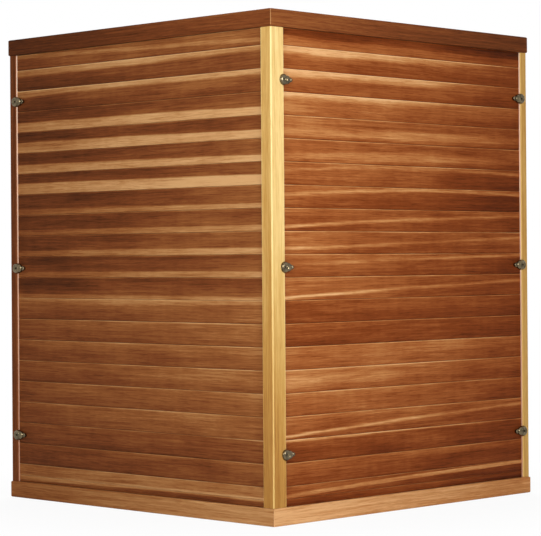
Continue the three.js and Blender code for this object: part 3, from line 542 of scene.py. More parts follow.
LEFT_REAR_LOOKS = [
    # The top board is painted darker at its head and its far end: painted shadow under the fascia
    sap_at_foot((0.34, 0.28, 0.16), (0.56, 0.52, 0.48), (0.34, 0.34, 0.28)),
    sap_at_head(RED, 0.34, 0.28, 0.06, (0.58, 0.50, 0.05), MELTING),
    sap_at_head(RED, 0.28, 0.28, 0.12, (0.54, 0.52, 0.10), MELTING),
    sap_at_head(GOLD, 0.20, 0.20, 0.10, (0.50, 0.42, 0.08), MELTING),
    sap_between(RED, (0.10, 0.10, 0.15), (0.45, 0.55, 0.50), (0.26, 0.42, 0.25)),
    sap_between(RED, (0.10, 0.10, 0.20), (0.45, 0.55, 0.55), (0.26, 0.44, 0.20)),
    sap_streak((0.54, 0.47, 0.22), 0.60, 0.90, 0.80, 0.07, (0.25, 0.30, 0.60), 0.08),
    sap_streak((0.52, 0.43, 0.22), 0.58, 0.86, 0.82, 0.07, (0.35, 0.55, 0.75), 0.08),
    sap_streak((0.55, 0.46, 0.34), 0.17, 0.55, 0.78, 0.06, (0.78, 0.45, 0.50), 0.08),
    sap_streak((0.57, 0.50, 0.38), 0.22, 0.47, 0.78, 0.06, (0.66, 0.42, 0.45), 0.08),
    sap_streak((0.52, 0.46, 0.28), 0.55, 0.76, 0.90, 0.06, (0.10, 0.38, 0.55), 0.08),
    sap_streak((0.57, 0.50, 0.38), 0.14, 0.42, 0.70, 0.06, (0.84, 0.45, 0.50), 0.07),
    board_look((0.41, 0.40, 0.29)),
    board_look((0.43, 0.40, 0.31)),
    board_look((0.61, 0.60, 0.41)),
    sap_between((0.66, 0.56, 0.37), (0.2, 0.4, 0.5), (0.7, 0.6, 0.6), (0.35, 0.1, 0.0)),
    board_look((0.61, 0.53, 0.35)),
    sap_streak((0.55, 0.50, 0.37), 0.16, 0.44, 0.70, 0.06, (0.90, 0.55, 0.45), 0.06),
    sap_streak((0.44, 0.40, 0.28), 0.92, 0.97, 0.99, 0.05, (0.55, 0.40, 0.30)),
    board_look((0.52, 0.46, 0.31)),
    sap_streak((0.48, 0.42, 0.28), 0.20, 0.62, 0.78, 0.16, (0.35, 0.55, 0.75)),
    board_look((0.32, 0.34, 0.22)),
]
print("boards on each rear wall:", len(RIGHT_REAR_LOOKS), "and", len(LEFT_REAR_LOOKS))

# %% [markdown]
# A wall starts with a narrow strip at its foot and a cut board, and full boards follow up to the fascia.
# Every board is made at its own height and put in its place. Its look is stored on its vertices as
# attributes, because these stay with the board when all of them are joined to one piece.

# %% Stack the boards of a wall
FOOT_STRIP = 0.027
LOWEST_BOARD = 0.0475
BOARD_PITCH = 0.086
PLAIN_LOOKS = ("tone", "across", "seed", "soft", "crown")


def joint_heights(foot, head):
    """Foot and head of each board, from the top down."""
    joints = [foot, foot + FOOT_STRIP]
    level = foot + FOOT_STRIP + LOWEST_BOARD
    while level < head - CHAMFER * 2:
        joints.append(level)
        level += BOARD_PITCH
    joints.append(head)
    return list(zip(joints, joints[1:]))[::-1]


def station_value(value, share):
    """A value given once, or at the near end, the middle and the far end of a board."""
    if not isinstance(value, tuple):
        return value
    near, middle, far = value
    ends = near * (1 - share) * (1 - 2 * share) + far * share * (2 * share - 1)
    return ends + middle * 4 * share * (1 - share)


def note_look(board, look, place_of, foot, head, seed):
    """Stores the look of one board on its vertices: tone, sapwood band, height share and seed."""
    mesh = board.data
    for name in PLAIN_LOOKS:
        mesh.attributes.new(name, "FLOAT", "POINT")
    mesh.attributes.new("sap", "FLOAT_VECTOR", "POINT")
    for vertex in mesh.vertices:
        share = place_of(vertex.co)
        across = (vertex.co.z - foot) / (head - foot)
        noted = {**look, "tone": station_value(look["tone"], share), "across": across, "seed": seed}
        for name in PLAIN_LOOKS:
            mesh.attributes[name].data[vertex.index].value = noted[name]
        band = [station_value(look[edge], share) for edge in ("low", "high", "glow")]
        mesh.attributes["sap"].data[vertex.index].vector = band


def boarded_wall(node, name, looks, turn, place_of, seed, material):
    """The cladding of one rear wall, board by board, inside the box of its CAD node."""
    low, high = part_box(node)
    size = high - low
    length, depth = max(size.x, size.y), min(size.x, size.y)
    boards = []
    for row, (foot, head) in enumerate(joint_heights(low.z, high.z)):
        board = model_board(length, depth, head - foot - JOINT)
        board.data.transform(turn @ Matrix.Translation((0, 0, foot + JOINT / 2)))
        note_look(board, looks[row], place_of, foot, head, (row * 0.377 + seed) % 1.0)
        boards.append(board)
    wall = join(*boards)
    smooth_by_angle(wall, 40)
    print(name, len(boards), "boards,", len(wall.data.polygons), "faces")
    return stand_for(node, wall, name, material)


print("board pitch", BOARD_PITCH / MM, "mm")

# %% [markdown]
# The boards' finish reads the stored look. The grain wanders, so the edges of the sapwood band wander
# with it, and the band melts into the heartwood over a few millimetres. Clouds of tone lie over it, and
# the head of each board takes a pale painted highlight, where its chamfer would catch the light.

# %% Finish of the rear boards
def board_finish(name, direction, tones, wavy):
    """Cedar boards of one wall; wavy is how much the edge of the sapwood wanders."""
    recipe = Recipe(name)
    tone, across, seed, soft, crown = (
        recipe.node("Attribute", {"attribute_name": stored}, output="Fac") for stored in PLAIN_LOOKS
    )
    low, high, glow = recipe.split(recipe.node("Attribute", {"attribute_name": "sap"}, output="Vector"))
    own = recipe.vector(seed * 13.0, seed * 0.7, seed * 5.0)
    place = recipe.plus(grain_place(recipe, direction), own)
    number, fine, rings = grain_number(recipe, place, 0.0, swing=0.15, streak=0.22, dash=0.11, fibre=0.16)
    mottle = recipe.noise(place, (2.8, 10, 10))
    figure = recipe.noise(place, (24, 3, 3))
    wander = recipe.noise(place, (1.8, 7, 1), detail=1.0)
    ragged = recipe.noise(place, (9, 90, 1))
    patchy = recipe.noise(place, (2.4, 1, 1), detail=1.0)
    level = across + (wander - 0.5) * wavy + (ragged - 0.5) * (wavy * 0.8)
    above_low = recipe.smooth(level, low - soft, low + soft)
    below_high = 1 - recipe.smooth(level, high - soft, high + soft)
    sapwood = above_low * below_high * glow * 0.6
    # Painted highlight: a pale line along the head of each board, where the chamfer catches the light
    head_highlight = recipe.smooth(across, 0.950, 0.972) * patchy * 0.46
    foot_line = (1 - recipe.smooth(across, 0.010, 0.040)) * 0.06
    cloud = (mottle - 0.5) * 0.34 + (figure - 0.5) * 0.09
    shade = tone + number + sapwood + cloud + (across - 0.5) * crown + head_highlight - foot_line
    return wood_surface(recipe, recipe.ramp(shade, tones), fine, rings, 0.44, 0.2, 0.0005)


red_boards = board_finish("left rear cedar", ALONG_X, RED_CEDAR, 0.14)
brown_boards = board_finish("right rear cedar", ALONG_Y, BROWN_CEDAR, 0.06)
print("cedar finish of", len(red_boards.node_tree.nodes), "nodes on each rear wall")

# %% The two rear walls
def share_from(near, far, axis):
    """How far along a board a point lies: 0 at the near end, 1 at the far end."""
    return lambda point: (near - point[axis]) / (near - far)


low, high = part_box("left_rear_cladding")
boarded_wall(
    "left_rear_cladding", "left_rear_boards", LEFT_REAR_LOOKS,
    Matrix.Translation((high.x, high.y, 0)) @ Matrix.Rotation(math.pi, 4, "Z"),
    share_from(high.x, low.x, 0), 0.04, red_boards,
)
low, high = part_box("right_rear_cladding")
boarded_wall(
    "right_rear_cladding", "right_rear_boards", RIGHT_REAR_LOOKS,
    Matrix.Translation((high.x, low.y, 0)) @ Matrix.Rotation(math.pi / 2, 4, "Z"),
    share_from(high.y, low.y, 1), 0.23, brown_boards,
)

# %% [markdown]
# Posts, skirt and fascia are plain timber with eased edges. Their CAD shapes are right, so a copy of each
# is cleaned in edit mode and its edges are rounded a little with a Bevel modifier. Weighted normals then
# keep the broad faces flat to the light, and only the rounded strips turn it. The strips take a lighter cut
# of the same wood from a second slot, a painted highlight where the arrises catch the light.

# %% Timber with softened edges
ARRIS = 0.0062
# How far a normal has to agree with a direction, and how little an upright face may tilt
FACING = 0.9
UPRIGHT = 0.1


def highlight_arrises(piece):
    """Gives long, narrow upright faces the paler cut of wood from the second slot: a painted highlight."""
    mesh = piece.data
    for face in mesh.polygons:
        corners = [mesh.vertices[i].co for i in face.vertices]
        length = max((a - b).length for a, b in zip(corners, corners[1:] + corners[:1]))
        upright = abs(face.normal.z) < UPRIGHT
        face.material_index = 1 if upright and face.area < ARRIS * length else 0


def softened(node, *materials, width=0.0012, segments=2, name=None):
    """A copy of a CAD node with rounded edges, which stands for it."""
    pick(nodes[node])
    bpy.ops.object.duplicate()
    piece = added()
    with editing():
        bpy.ops.mesh.remove_doubles(threshold=0.00001)
        bpy.ops.mesh.dissolve_limited(angle_limit=math.radians(1))
    ease(piece, width, segments, 25, clamp=False)
    level_faces(piece)
    stand_for(node, piece, name or node + "_eased", *materials)
    if len(materials) > 1:
        highlight_arrises(piece)
    return piece


def planed(name, direction, tones, middle, arris_light=0.14, **grain):
    """A wood and the paler cut of it, a painted highlight along its arrises."""
    paler = tuple(value + arris_light for value in middle) if isinstance(middle, tuple) else middle + arris_light
    plain = wood(name, direction, tones, middle, **grain)
    return plain, wood(name + " arris", direction, tones, paler, **grain)


print("strips narrower than", ARRIS / MM, "mm count as arrises")

# %% Posts
fresh_cut = wood("fresh cut cedar", UP, FRESH_CEDAR, (0.08, 0.58), seed=0.5)


def show_fresh(post, direction):
    """Gives the faces of a post that look one way the pale pink of fresh cut cedar."""
    post.data.materials.append(fresh_cut)
    for face in post.data.polygons:
        if face.normal.dot(Vector(direction)) > FACING:
            face.material_index = len(post.data.materials) - 1


# Two tones are those at the foot and at the head: the foot is browner wood and also painted shade.
# The lit side paints the faces along the left rear wall paler, as painted light from that side.
rear_post = planed(
    "rear post cedar", UP, PALE_CEDAR, (0.26, 0.60), arris_light=0.40, reveal=(ALONG_Y, 0.05, 0.24),
    swing=0.20, streak=0.26,
)
left_post = planed("left post cedar", UP, PALE_CEDAR, 0.50, seed=0.6)
front_post = planed("front post cedar", UP, PALE_CEDAR, 0.52, seed=0.8)
right_post = planed("right post cedar", UP, BROWN_CEDAR, 0.33, seed=0.4, arris_light=0.1)
softened("rear_post", *rear_post)
show_fresh(softened("left_post", *left_post), ALONG_X)
show_fresh(softened("right_post", *right_post), ALONG_Y)
softened("front_left_post", *front_post)
softened("front_right_post", *front_post)
print("posts: 5, two of them with a fresh cut side")

# %% Skirt and fascia
ALONG = {
    "left_rear": ALONG_X,
    "left_side": ALONG_Y,
    "front": ALONG_FRONT,
    "right_side": ALONG_X,
    "right_rear": ALONG_Y,
}
# Tones at the far and at the near end of the rear walls; the darker far end is partly painted shade
FASCIA_TONE = {"left_rear": (0.27, 0.48), "right_rear": (0.21, 0.41)}
SKIRT_TONE = {"left_rear": (0.78, 0.98), "right_rear": (0.62, 0.80)}
for wall, direction in ALONG.items():
    fascia = FASCIA_TONE.get(wall, 0.36)
    skirt = SKIRT_TONE.get(wall, 0.75)
    tones = RED_CEDAR if wall == "left_rear" else BROWN_CEDAR
    top = planed(wall + " fascia cedar", direction, BROWN_CEDAR, fascia, arris_light=0.45, seed=0.3, swing=0.14)
    foot = planed(wall + " skirt cedar", direction, tones, skirt, arris_light=0.22, seed=0.7, swing=0.20)
    softened(wall + "_fascia", *top, width=0.0018)
    softened(wall + "_skirt", *foot, width=0.0018)
print("skirt and fascia boards:", 2 * len(ALONG))

# %% [markdown]
# Each wall has its own frame for placing things: along the wall to the right as seen from outside, up, and
# outwards. Round pieces are turned as on a lathe: a ring is extruded and resized from one station of
# radius and height to the next. Turned pieces stand on the wall with their axis pointing outwards.

# %% Wall frames and turned pieces
FRONT_CORNER = 0.104
BOARDS_BACK = 0.0087
WALL_START = {
    "left_rear": ((WALL_FACE, WALL_FACE, 0), (-1, 0, 0)),
    "right_rear": ((WALL_FACE, -WALL_FACE, 0), ALONG_Y),
    "front": ((-WALL_FACE, FRONT_CORNER, 0), ALONG_FRONT),
}


def on_wall(wall, x, depth, z):
    """Matrix that puts a piece at a place on a wall: its x along the wall, y up and z outwards."""
    start, along = (Vector(value) for value in WALL_START[wall])
    along.normalize()
    outwards = along.cross(UP)
    turn = Matrix((along, UP, outwards)).transposed().to_4x4()
    return Matrix.Translation(start + along * x - outwards * depth + UP * z) @ turn


def turned(profile, facets=48):
    """A round piece about the z axis from stations of radius and height, in millimetres."""
    radius, level = profile[0]
    pick()
    bpy.ops.mesh.primitive_circle_add(vertices=facets, radius=radius * MM, fill_type="NGON")
    piece = added()
    piece.data.transform(Matrix.Translation((0, 0, level * MM)))
    with editing():
        for next_radius, next_level in profile[1:]:
            rise = (0, 0, (next_level - level) * MM)
            bpy.ops.mesh.extrude_region_move(TRANSFORM_OT_translate={"value": rise})
            share = next_radius / radius
            bpy.ops.transform.resize(value=(share, share, 1), center_override=(0, 0, next_level * MM))
            radius, level = next_radius, next_level
        bpy.ops.mesh.select_all(action="SELECT")
        bpy.ops.mesh.normals_make_consistent(inside=False)
    smooth_by_angle(piece)
    return piece


def carve(piece, *cutters):
    """Cuts shapes out of a piece and throws the cutters away."""
    for cutter in cutters:
        apply_modifier(piece, "BOOLEAN", operation="DIFFERENCE", object=cutter, solver="EXACT")
        bpy.data.objects.remove(cutter)


def copy_to(model, matrix):
    """A copy of a modelled piece with its own mesh, put in its place."""
    piece = model.copy()
    piece.data = model.data.copy()
    scene.collection.objects.link(piece)
    piece.data.transform(matrix)
    return piece


def move(piece, *place):
    """Moves a piece in its mesh, so that the object itself stays at the origin."""
    piece.data.transform(Matrix.Translation(place))


print("walls with frames:", ", ".join(WALL_START))

# %% [markdown]
# The wall bolts are dark nickel clasps: a drum with a rounded shoulder and a dished top, let into the edge
# of the post, and a tapered tongue that lies on the boards, rises in a rounded boss and hooks over a small
# pointed pin. One is modelled: drum, boss and pin are turned, a hexagon socket is cut, and the tongue is a
# block narrowed at its tip. Then it is copied nine times.

# %% Metals
def metal(name, colour, rough, brushed=(30, 30, 30), cloud=0.12):
    """A metal whose polish is cloudy and finely scratched."""
    recipe = Recipe(name)
    haze = recipe.noise(recipe.place(), (60, 60, 60), detail=3.0)
    scratch = recipe.noise(recipe.place(), [value * 40 for value in brushed])
    return recipe.feed(
        Base_Color=recipe.mix(recipe.smooth(haze, 0.3, 0.7), shaded(colour, 1 - 2.5 * cloud), colour),
        Metallic=1.0,
        Roughness=rough + (haze - 0.5) * (0.8 * cloud) + (scratch - 0.5) * 0.15,
        Normal=recipe.bump(scratch, 0.08, 0.0002),
    )


# The warm brown in the nickel's colour is partly painted reflection of the cedar around the bolts
dark_nickel = metal("dark nickel", paint(120, 107, 82), 0.20, cloud=0.22)
satin_steel = metal("satin steel", paint(190, 192, 194), 0.30, brushed=(4, 4, 60), cloud=0.03)
grey_steel = metal("grey steel", paint(150, 154, 157), 0.42)
print("metals:", ", ".join(made.name for made in (dark_nickel, satin_steel, grey_steel)))

# %% Wall bolts
BOLT_RADIUS = 20.5
PIN_REACH = 41
TONGUE_ROOT = 40
TONGUE_TIP = 18
TONGUE_THICK = 8
TIP_ROUND = 8.5
BOSS_REACH = 17.5
SOCKET_RADIUS = 4.8
SOCKET_LENGTH = 9
SOCKET_LEVEL = 15
BOLT_ROWS = {
    "left_rear_corner": ("left_rear", 0),
    "left_rear_edge": ("left_rear", math.pi),
    "right_rear_edge": ("right_rear", 0),
}


def tongue():
    """A plate on the boards that narrows from the bolt to a round end at the pin."""
    plate = block((PIN_REACH, TONGUE_ROOT, TONGUE_THICK), place=(PIN_REACH / 2, 0, TONGUE_THICK / 2))
    halfway = PIN_REACH / 2 * MM
    for vertex in plate.data.vertices:
        vertex.select = vertex.co.x > halfway
    with editing(everything=False):
        bpy.ops.mesh.select_mode(type="VERT")
        narrowed = (1, TONGUE_TIP / TONGUE_ROOT, 1)
        bpy.ops.transform.resize(value=narrowed, center_override=(PIN_REACH * MM, 0, 0))
        bpy.ops.transform.translate(value=(TONGUE_TIP / 4 * MM, 0, 0))
    select_edges(plate, lambda a, b: min(a.x, b.x) > halfway and abs(a.z - b.z) > TONGUE_THICK / 2 * MM)
    with editing(everything=False):
        bpy.ops.mesh.bevel(offset=TIP_ROUND * MM, segments=6)
    ease(plate, 0.0022, 3, 40)
    return plate


drum = turned([
    (4.0, -30.0), (4.0, 0.0), (20.2, 0.0), (BOLT_RADIUS, 0.4), (BOLT_RADIUS, 9.0), (20.2, 11.6),
    (19.0, 14.4), (17.0, 16.6), (14.8, 18.0), (13.6, 18.4), (12.9, 18.2), (12.2, 17.7), (5.6, 14.0),
])
bpy.ops.mesh.primitive_cylinder_add(
    vertices=6, radius=SOCKET_RADIUS * MM, depth=SOCKET_LENGTH * MM, location=(0, 0, SOCKET_LEVEL * MM),
)
carve(drum, added())
pin = turned([(6.8, 0), (6.8, 8.4), (6.2, 9.2), (1.4, 12.1), (0.7, 12.2)], facets=32)
move(pin, PIN_REACH * MM, 0, 0)
boss = turned([(16.6, 4), (16.6, 8.0), (16.0, 11.0), (14.3, 13.4), (11.3, 15.2), (7.0, 16.4), (3.0, 16.8)])
move(boss, BOSS_REACH * MM, 0, 0)
bolt = join(drum, tongue(), boss, pin)
smooth_by_angle(bolt, 40)
for row, (wall, turn) in BOLT_ROWS.items():
    for number in (1, 2, 3):
        node = f"{row}_bolt_{number}"
        low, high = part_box(node)
        start, along = (Vector(value) for value in WALL_START[wall])
        ends = sorted((corner - start).dot(along) for corner in (low, high))
        x = ends[1] - BOLT_RADIUS * MM if turn else ends[0] + BOLT_RADIUS * MM
        stands = on_wall(wall, x, BOARDS_BACK, (low.z + high.z) / 2) @ Matrix.Rotation(turn, 4, "Z")
        stand_for(node, copy_to(bolt, stands), node + "_clasp", dark_nickel)
print("bolts placed:", 3 * len(BOLT_ROWS), "each", len(bolt.data.polygons), "faces")
bpy.data.objects.remove(bolt)

# %% [markdown]
# Side and front walls are insulated panels, boarded outside and lined inside. Their boards come from the
# same stock, so one finish serves them: it finds each board from its height, and a random number for each
# board sets its tone and where its sapwood runs. The inner face is paler hemlock lining.

# %% Boards found by height
FOOT = 0.066
LOWEST_JOINT = FOOT + FOOT_STRIP + LOWEST_BOARD
FRONT_FACE = (FRONT_CORNER - WALL_FACE) / math.sqrt(2)
LINED_FROM = 0.024
FRONT_INNER = FRONT_FACE + LINED_FROM
SIDE_INNER = -0.735
FRONT_IN = Vector((1, 1, 0)).normalized()


def chance(recipe, row, salt):
    return recipe.node("TexWhiteNoise", {"noise_dimensions": "1D"}, {"W": row * 1.37 + salt}, "Value")


def panel_finish(name, direction, inwards, inner_depth, seed):
    """Cedar boards outside and hemlock lining inside, for a panel whose inner face lies at a depth."""
    recipe = Recipe(name)
    place = recipe.place()
    height = recipe.along(place, UP)
    steps = (height - LOWEST_JOINT) / BOARD_PITCH
    across = steps - steps.floor()
    row = steps.floor() - 1 + height.above(FOOT + FOOT_STRIP)
    tone, centre, width, show = (chance(recipe, row, seed + salt) for salt in (0.0, 11.3, 23.9, 37.1))
    drawn = recipe.plus(grain_place(recipe, direction), recipe.vector(row * 3.1, 0.0, row * 0.7))
    number, fine, rings = grain_number(recipe, drawn, seed, swing=0.18, streak=0.20, fibre=0.10)
    wander = recipe.noise(drawn, (2.2, 9, 1))
    away = abs(across + (wander - 0.5) * 0.3 - centre)
    sap = (1 - recipe.smooth(away, width * 0.2, width * 0.2 + 0.1)) * recipe.smooth(show, 0.45, 0.9)
    # Painted highlight along the head of each board
    head_highlight = recipe.smooth(across, 0.962, 0.985) * 0.14
    outside = recipe.ramp(0.28 + tone * 0.26 + number + sap * 0.34 + head_highlight, RED_CEDAR)
    lining = recipe.ramp(0.34 + tone * 0.3 + number, HEMLOCK)
    inner = recipe.along(place, inwards).above(inner_depth)
    return wood_surface(recipe, recipe.mix(inner, outside, lining), fine, rings)


front_boards = panel_finish("front boards", ALONG_FRONT, FRONT_IN, FRONT_INNER, 0.21)
PANELS = {
    "left_side_panel": panel_finish("left side boards", ALONG_Y, ALONG_X, SIDE_INNER, 0.47),
    "right_side_panel": panel_finish("right side boards", ALONG_X, ALONG_Y, SIDE_INNER, 0.83),
    "front_left_panel": front_boards,
    "front_right_panel": front_boards,
}
for node, boards in PANELS.items():
    softened(node, boards, width=0.0006)
softened("front_header", *planed("header cedar", ALONG_FRONT, PALE_CEDAR, 0.5, seed=0.9))
print("boarded panels:", len(PANELS))

# %% [markdown]
# Inside, the lining, floor and ceiling are hemlock boards. Their CAD shapes already have the grooves, so
# they stay and only take a finish, which tells one board from the next by its place in the stack.

# %% Hemlock boards
def lining_finish(name, direction, stack, first_joint, seed):
    """Hemlock boards that lie side by side in the direction of the stack."""
    recipe = Recipe(name)
    row = ((recipe.along(recipe.place(), stack) - first_joint) / BOARD_PITCH).floor()
    drawn = recipe.plus(grain_place(recipe, direction), recipe.vector(row * 2.3, 0.0, row * 0.9))
    number, fine, rings = grain_number(recipe, drawn, seed, swing=0.18, streak=0.22, fibre=0.10)
    shade = 0.36 + chance(recipe, row, seed) * 0.3 + number
    return wood_surface(recipe, recipe.ramp(shade, HEMLOCK), fine, rings, 0.5)


LININGS = {
    "left_rear_lining": ("left lining hemlock", ALONG_X, UP, LOWEST_JOINT, 0.3),
    "right_rear_lining": ("right lining hemlock", ALONG_Y, UP, LOWEST_JOINT, 0.6),
    "floor_deck": ("floor hemlock", ALONG_X, ALONG_Y, -WALL_FACE, 0.9),
    "ceiling_panel": ("ceiling hemlock", ALONG_X, ALONG_Y, -WALL_FACE, 1.4),
}
for node, looks in LININGS.items():
    boards = lining_finish(*looks)
    for material_slot in nodes[node].material_slots:
        material_slot.material = boards
print("hemlock boards finished:", len(LININGS), "nodes")

# %% [markdown]
# The bench slats turn the corner, mitred on the diagonal, so their grain turns there too. The bench
# fronts and heater guards are frames with level slats between upright stiles. Each is one CAD shape, so
# the finish itself tells slat from stile by the distance to the stile's middle.

# %% Bench and guards
def mitred_hemlock(name):
    recipe = Recipe(name)
    place = recipe.place()
    across = recipe.along(place, (-1, 1, 0))
    left_leg = across.above(0.0)
    right_leg = 1 - left_leg
    x, y, z = recipe.split(place)
    drawn = recipe.vector(x * left_leg + y * right_leg, y * left_leg + x * right_leg, z + left_leg * 0.4)
    number, fine, rings = grain_number(recipe, drawn, 0.15, swing=0.18, streak=0.22, fibre=0.10)
    mitre = 1 - recipe.smooth(abs(across), 0.0006, 0.0012)
    return wood_surface(recipe, recipe.ramp(0.56 + number - mitre * 0.5, HEMLOCK), fine, rings, 0.42)


def framed_hemlock(name, direction, stiles, seed):
    """Level slats between stiles; each stile is a middle and a half width along the direction."""
    recipe = Recipe(name)
    place = recipe.place()
    length = recipe.along(place, direction)
    rise = recipe.along(place, UP)
    depth = recipe.along(place, Vector(direction).cross(UP))
    first, second, third = (1 - abs(length - middle).above(half_width) for middle, half_width in stiles)
    stile = first.largest(second).largest(third)
    slat = 1 - stile
    drawn = recipe.vector(rise * stile + length * slat, length * stile + rise * slat, depth)
    number, fine, rings = grain_number(recipe, drawn, seed, swing=0.18, streak=0.22, fibre=0.10)
    return wood_surface(recipe, recipe.ramp(0.52 + number + stile * 0.06, HEMLOCK), fine, rings, 0.44)


BENCH_STILES = (0.06, 0.03)
GUARD_STILES = (0.034, 0.013)
FRAMES = {
    "left_bench_front": ("left bench front hemlock", 0, BENCH_STILES, 0.35),
    "right_bench_front": ("right bench front hemlock", 1, BENCH_STILES, 0.75),
    "left_heater_guard": ("left guard hemlock", 0, GUARD_STILES, 0.55),
    "right_heater_guard": ("right guard hemlock", 1, GUARD_STILES, 0.95),
}
softened("bench_top", mitred_hemlock("bench hemlock"), width=0.003, segments=3)
for node, (name, axis, (end_width, middle_width), seed) in FRAMES.items():
    start, end = (corner[axis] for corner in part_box(node))
    stiles = [(start, end_width), ((start + end) / 2, middle_width), (end, end_width)]
    softened(node, framed_hemlock(name, (ALONG_X, ALONG_Y)[axis], stiles, seed), width=0.0015)
print("slatted frames:", len(FRAMES))

# %% [markdown]
# The flat heaters are black carbon panels in a thin rim: the front face is inset and sunk in edit mode.
# The carbon has a fine woven look, which two crossing sine waves give.

# %% Heaters
HEATER_RIM = 0.016
HEATER_SUNK = 0.0025
HEATER_FACE = 0.1
INWARDS = {"left": Vector((0, -1, 0)), "right": Vector((-1, 0, 0))}


def carbon_finish():
    recipe = Recipe("carbon panel")
    x, y, z = recipe.split(recipe.place())
    threads = ((x + y) * 1800.0).sine() * (z * 1800.0).sine()
    haze = recipe.noise(recipe.place(), (9, 9, 9), detail=3.0)
    return recipe.feed(
        Base_Color=recipe.ramp(haze + threads * 0.12, [(0.2, paint(18, 18, 20)), (0.8, paint(44, 44, 48))]),
        Roughness=0.5 + threads * 0.1 + (haze - 0.5) * 0.2,
        Normal=recipe.bump(threads, 0.3, 0.0004),
    )


carbon = carbon_finish()
for side, inwards in INWARDS.items():
    heater = softened(side + "_heater", carbon, width=0.002, segments=3, name=side + "_carbon_heater")
    for face in heater.data.polygons:
        face.select = face.normal.dot(inwards) > FACING and face.area > HEATER_FACE
    pick(heater)
    with editing(everything=False):
        bpy.ops.mesh.inset(thickness=HEATER_RIM)
        bpy.ops.mesh.extrude_region_move(TRANSFORM_OT_translate={"value": -inwards * HEATER_SUNK})
    level_faces(heater)
print("heaters sunk in their rims by", HEATER_SUNK / MM, "mm")

# %% [markdown]
# Door and windows are tinted safety glass. The tint is a share of see-through, with more reflection at a
# glancing angle, faint smears, and the greener edge that thick glass shows, which is a second material on
# the narrow faces.

# %% Glass
PANES = {"door_glass": 0.0012, "left_window": 0.0008, "right_window": 0.0008}


def glass_finish(name, clear, smeared, solid):
    """Glass that lets light through, with faint wiping marks; solid is how much of it shows face on."""
    recipe = Recipe(name)
    smear = recipe.noise(recipe.place(), (5, 5, 2), detail=4.0, roughness=0.6)
    glance = recipe.node("LayerWeight", inputs={"Blend": 0.25}, output="Fresnel")
    return recipe.feed(
        Base_Color=recipe.ramp(smear, [(0.3, clear), (0.8, smeared)]),
        Roughness=0.03 + smear * 0.06,
        Alpha=solid + glance * 0.4 + (smear - 0.5) * 0.04,
    )


tinted_glass = glass_finish("tinted glass", paint(56, 50, 42), paint(82, 76, 66), 0.07)
glass_edge = glass_finish("glass edge", paint(70, 122, 104), paint(96, 146, 128), 0.70)
for node, easing in PANES.items():
    pane = softened(node, tinted_glass, glass_edge, width=easing)
    for face in pane.data.polygons:
        face.material_index = 0 if abs(face.normal.dot(FRONT_IN)) > FACING else 1
print("panes with green cut edges:", len(PANES))

# %% [markdown]
# A slim bead holds each window pane in its reveal. It is made from one sheet: inset, opened in the middle,
# extruded to its depth and eased. A bead of four bars would show open joints at the corners.

# %% Window beads
FRONT_LENGTH = (WALL_FACE + FRONT_CORNER) * math.sqrt(2)
FRONT_POST = 0.040
DOOR_OPENING = 0.620
OPENING_START = (FRONT_LENGTH - DOOR_OPENING) / 2
WINDOW_FROM_END = (FRONT_POST + OPENING_START) / 2
WINDOW = Vector((0.150, 0.600))
WINDOW_MIDDLE_Z = 1.420
WINDOW_PLAY = 0.0006
BEAD_WIDTH = 0.009
BEAD_THICK = 0.010
BEAD_DEPTH = 0.0300


def window_bead():
    pick()
    bpy.ops.mesh.primitive_plane_add(size=1)
    bead = added()
    bead.data.transform(Matrix.Diagonal((WINDOW.x - WINDOW_PLAY, WINDOW.y - WINDOW_PLAY, 1, 1)))
    with editing():
        bpy.ops.mesh.inset(thickness=BEAD_WIDTH)
        bpy.ops.mesh.delete(type="FACE")
        bpy.ops.mesh.select_all(action="SELECT")
        bpy.ops.mesh.extrude_region_move(TRANSFORM_OT_translate={"value": (0, 0, BEAD_THICK)})
        bpy.ops.mesh.select_all(action="SELECT")
        bpy.ops.mesh.normals_make_consistent(inside=False)
    ease(bead, 0.0025, 3, 40)
    smooth_by_angle(bead)
    return bead


bead_wood = wood("bead cedar", UP, PALE_CEDAR, 0.45, seed=0.2)
bead = window_bead()
for side, x in (("left", WINDOW_FROM_END), ("right", FRONT_LENGTH - WINDOW_FROM_END)):
    placed = copy_to(bead, on_wall("front", x, BEAD_DEPTH, WINDOW_MIDDLE_Z))
    add_piece(placed, side + "_window_bead", "pale_cedar", bead_wood)
print("window beads: 2, each", len(bead.data.polygons), "faces")
bpy.data.objects.remove(bead)

# %% [markdown]
# The hinges are satin steel with rounded edges, each leaf held by two countersunk screws. A screw is a
# turned head with a cross cut into it by a Boolean modifier, modelled once and copied.

# %% Hinges and screws
HINGE_LEVELS = (0.314, 1.503)
HINGE_PIN = OPENING_START + 0.002
LEAF_THICK = 0.004
CLAMP_BACK = 0.0117
SCREW_REACH = 0.027
SCREW_RISE = 0.028
SCREW_RADIUS = 3.6
HINGE_SCREWS = {
    "hinge": ("cabin", HINGE_PIN - SCREW_REACH, BOARDS_BACK - LEAF_THICK),
    "clamp": ("door", HINGE_PIN + SCREW_REACH, CLAMP_BACK - LEAF_THICK),
}


def cross_screw(radius):
    shoulder = [(radius, -0.2), (radius, 0.15), (radius * 0.92, 0.4)]
    head = turned(shoulder + [(radius * 0.6, 0.62), (radius * 0.2, 0.7)], facets=24)
    slot = (radius * 1.1, radius * 0.24)
    carve(head, *(block((*size, 1.2), place=(0, 0, 0.75)) for size in (slot, slot[::-1])))
    smooth_by_angle(head)
    return head


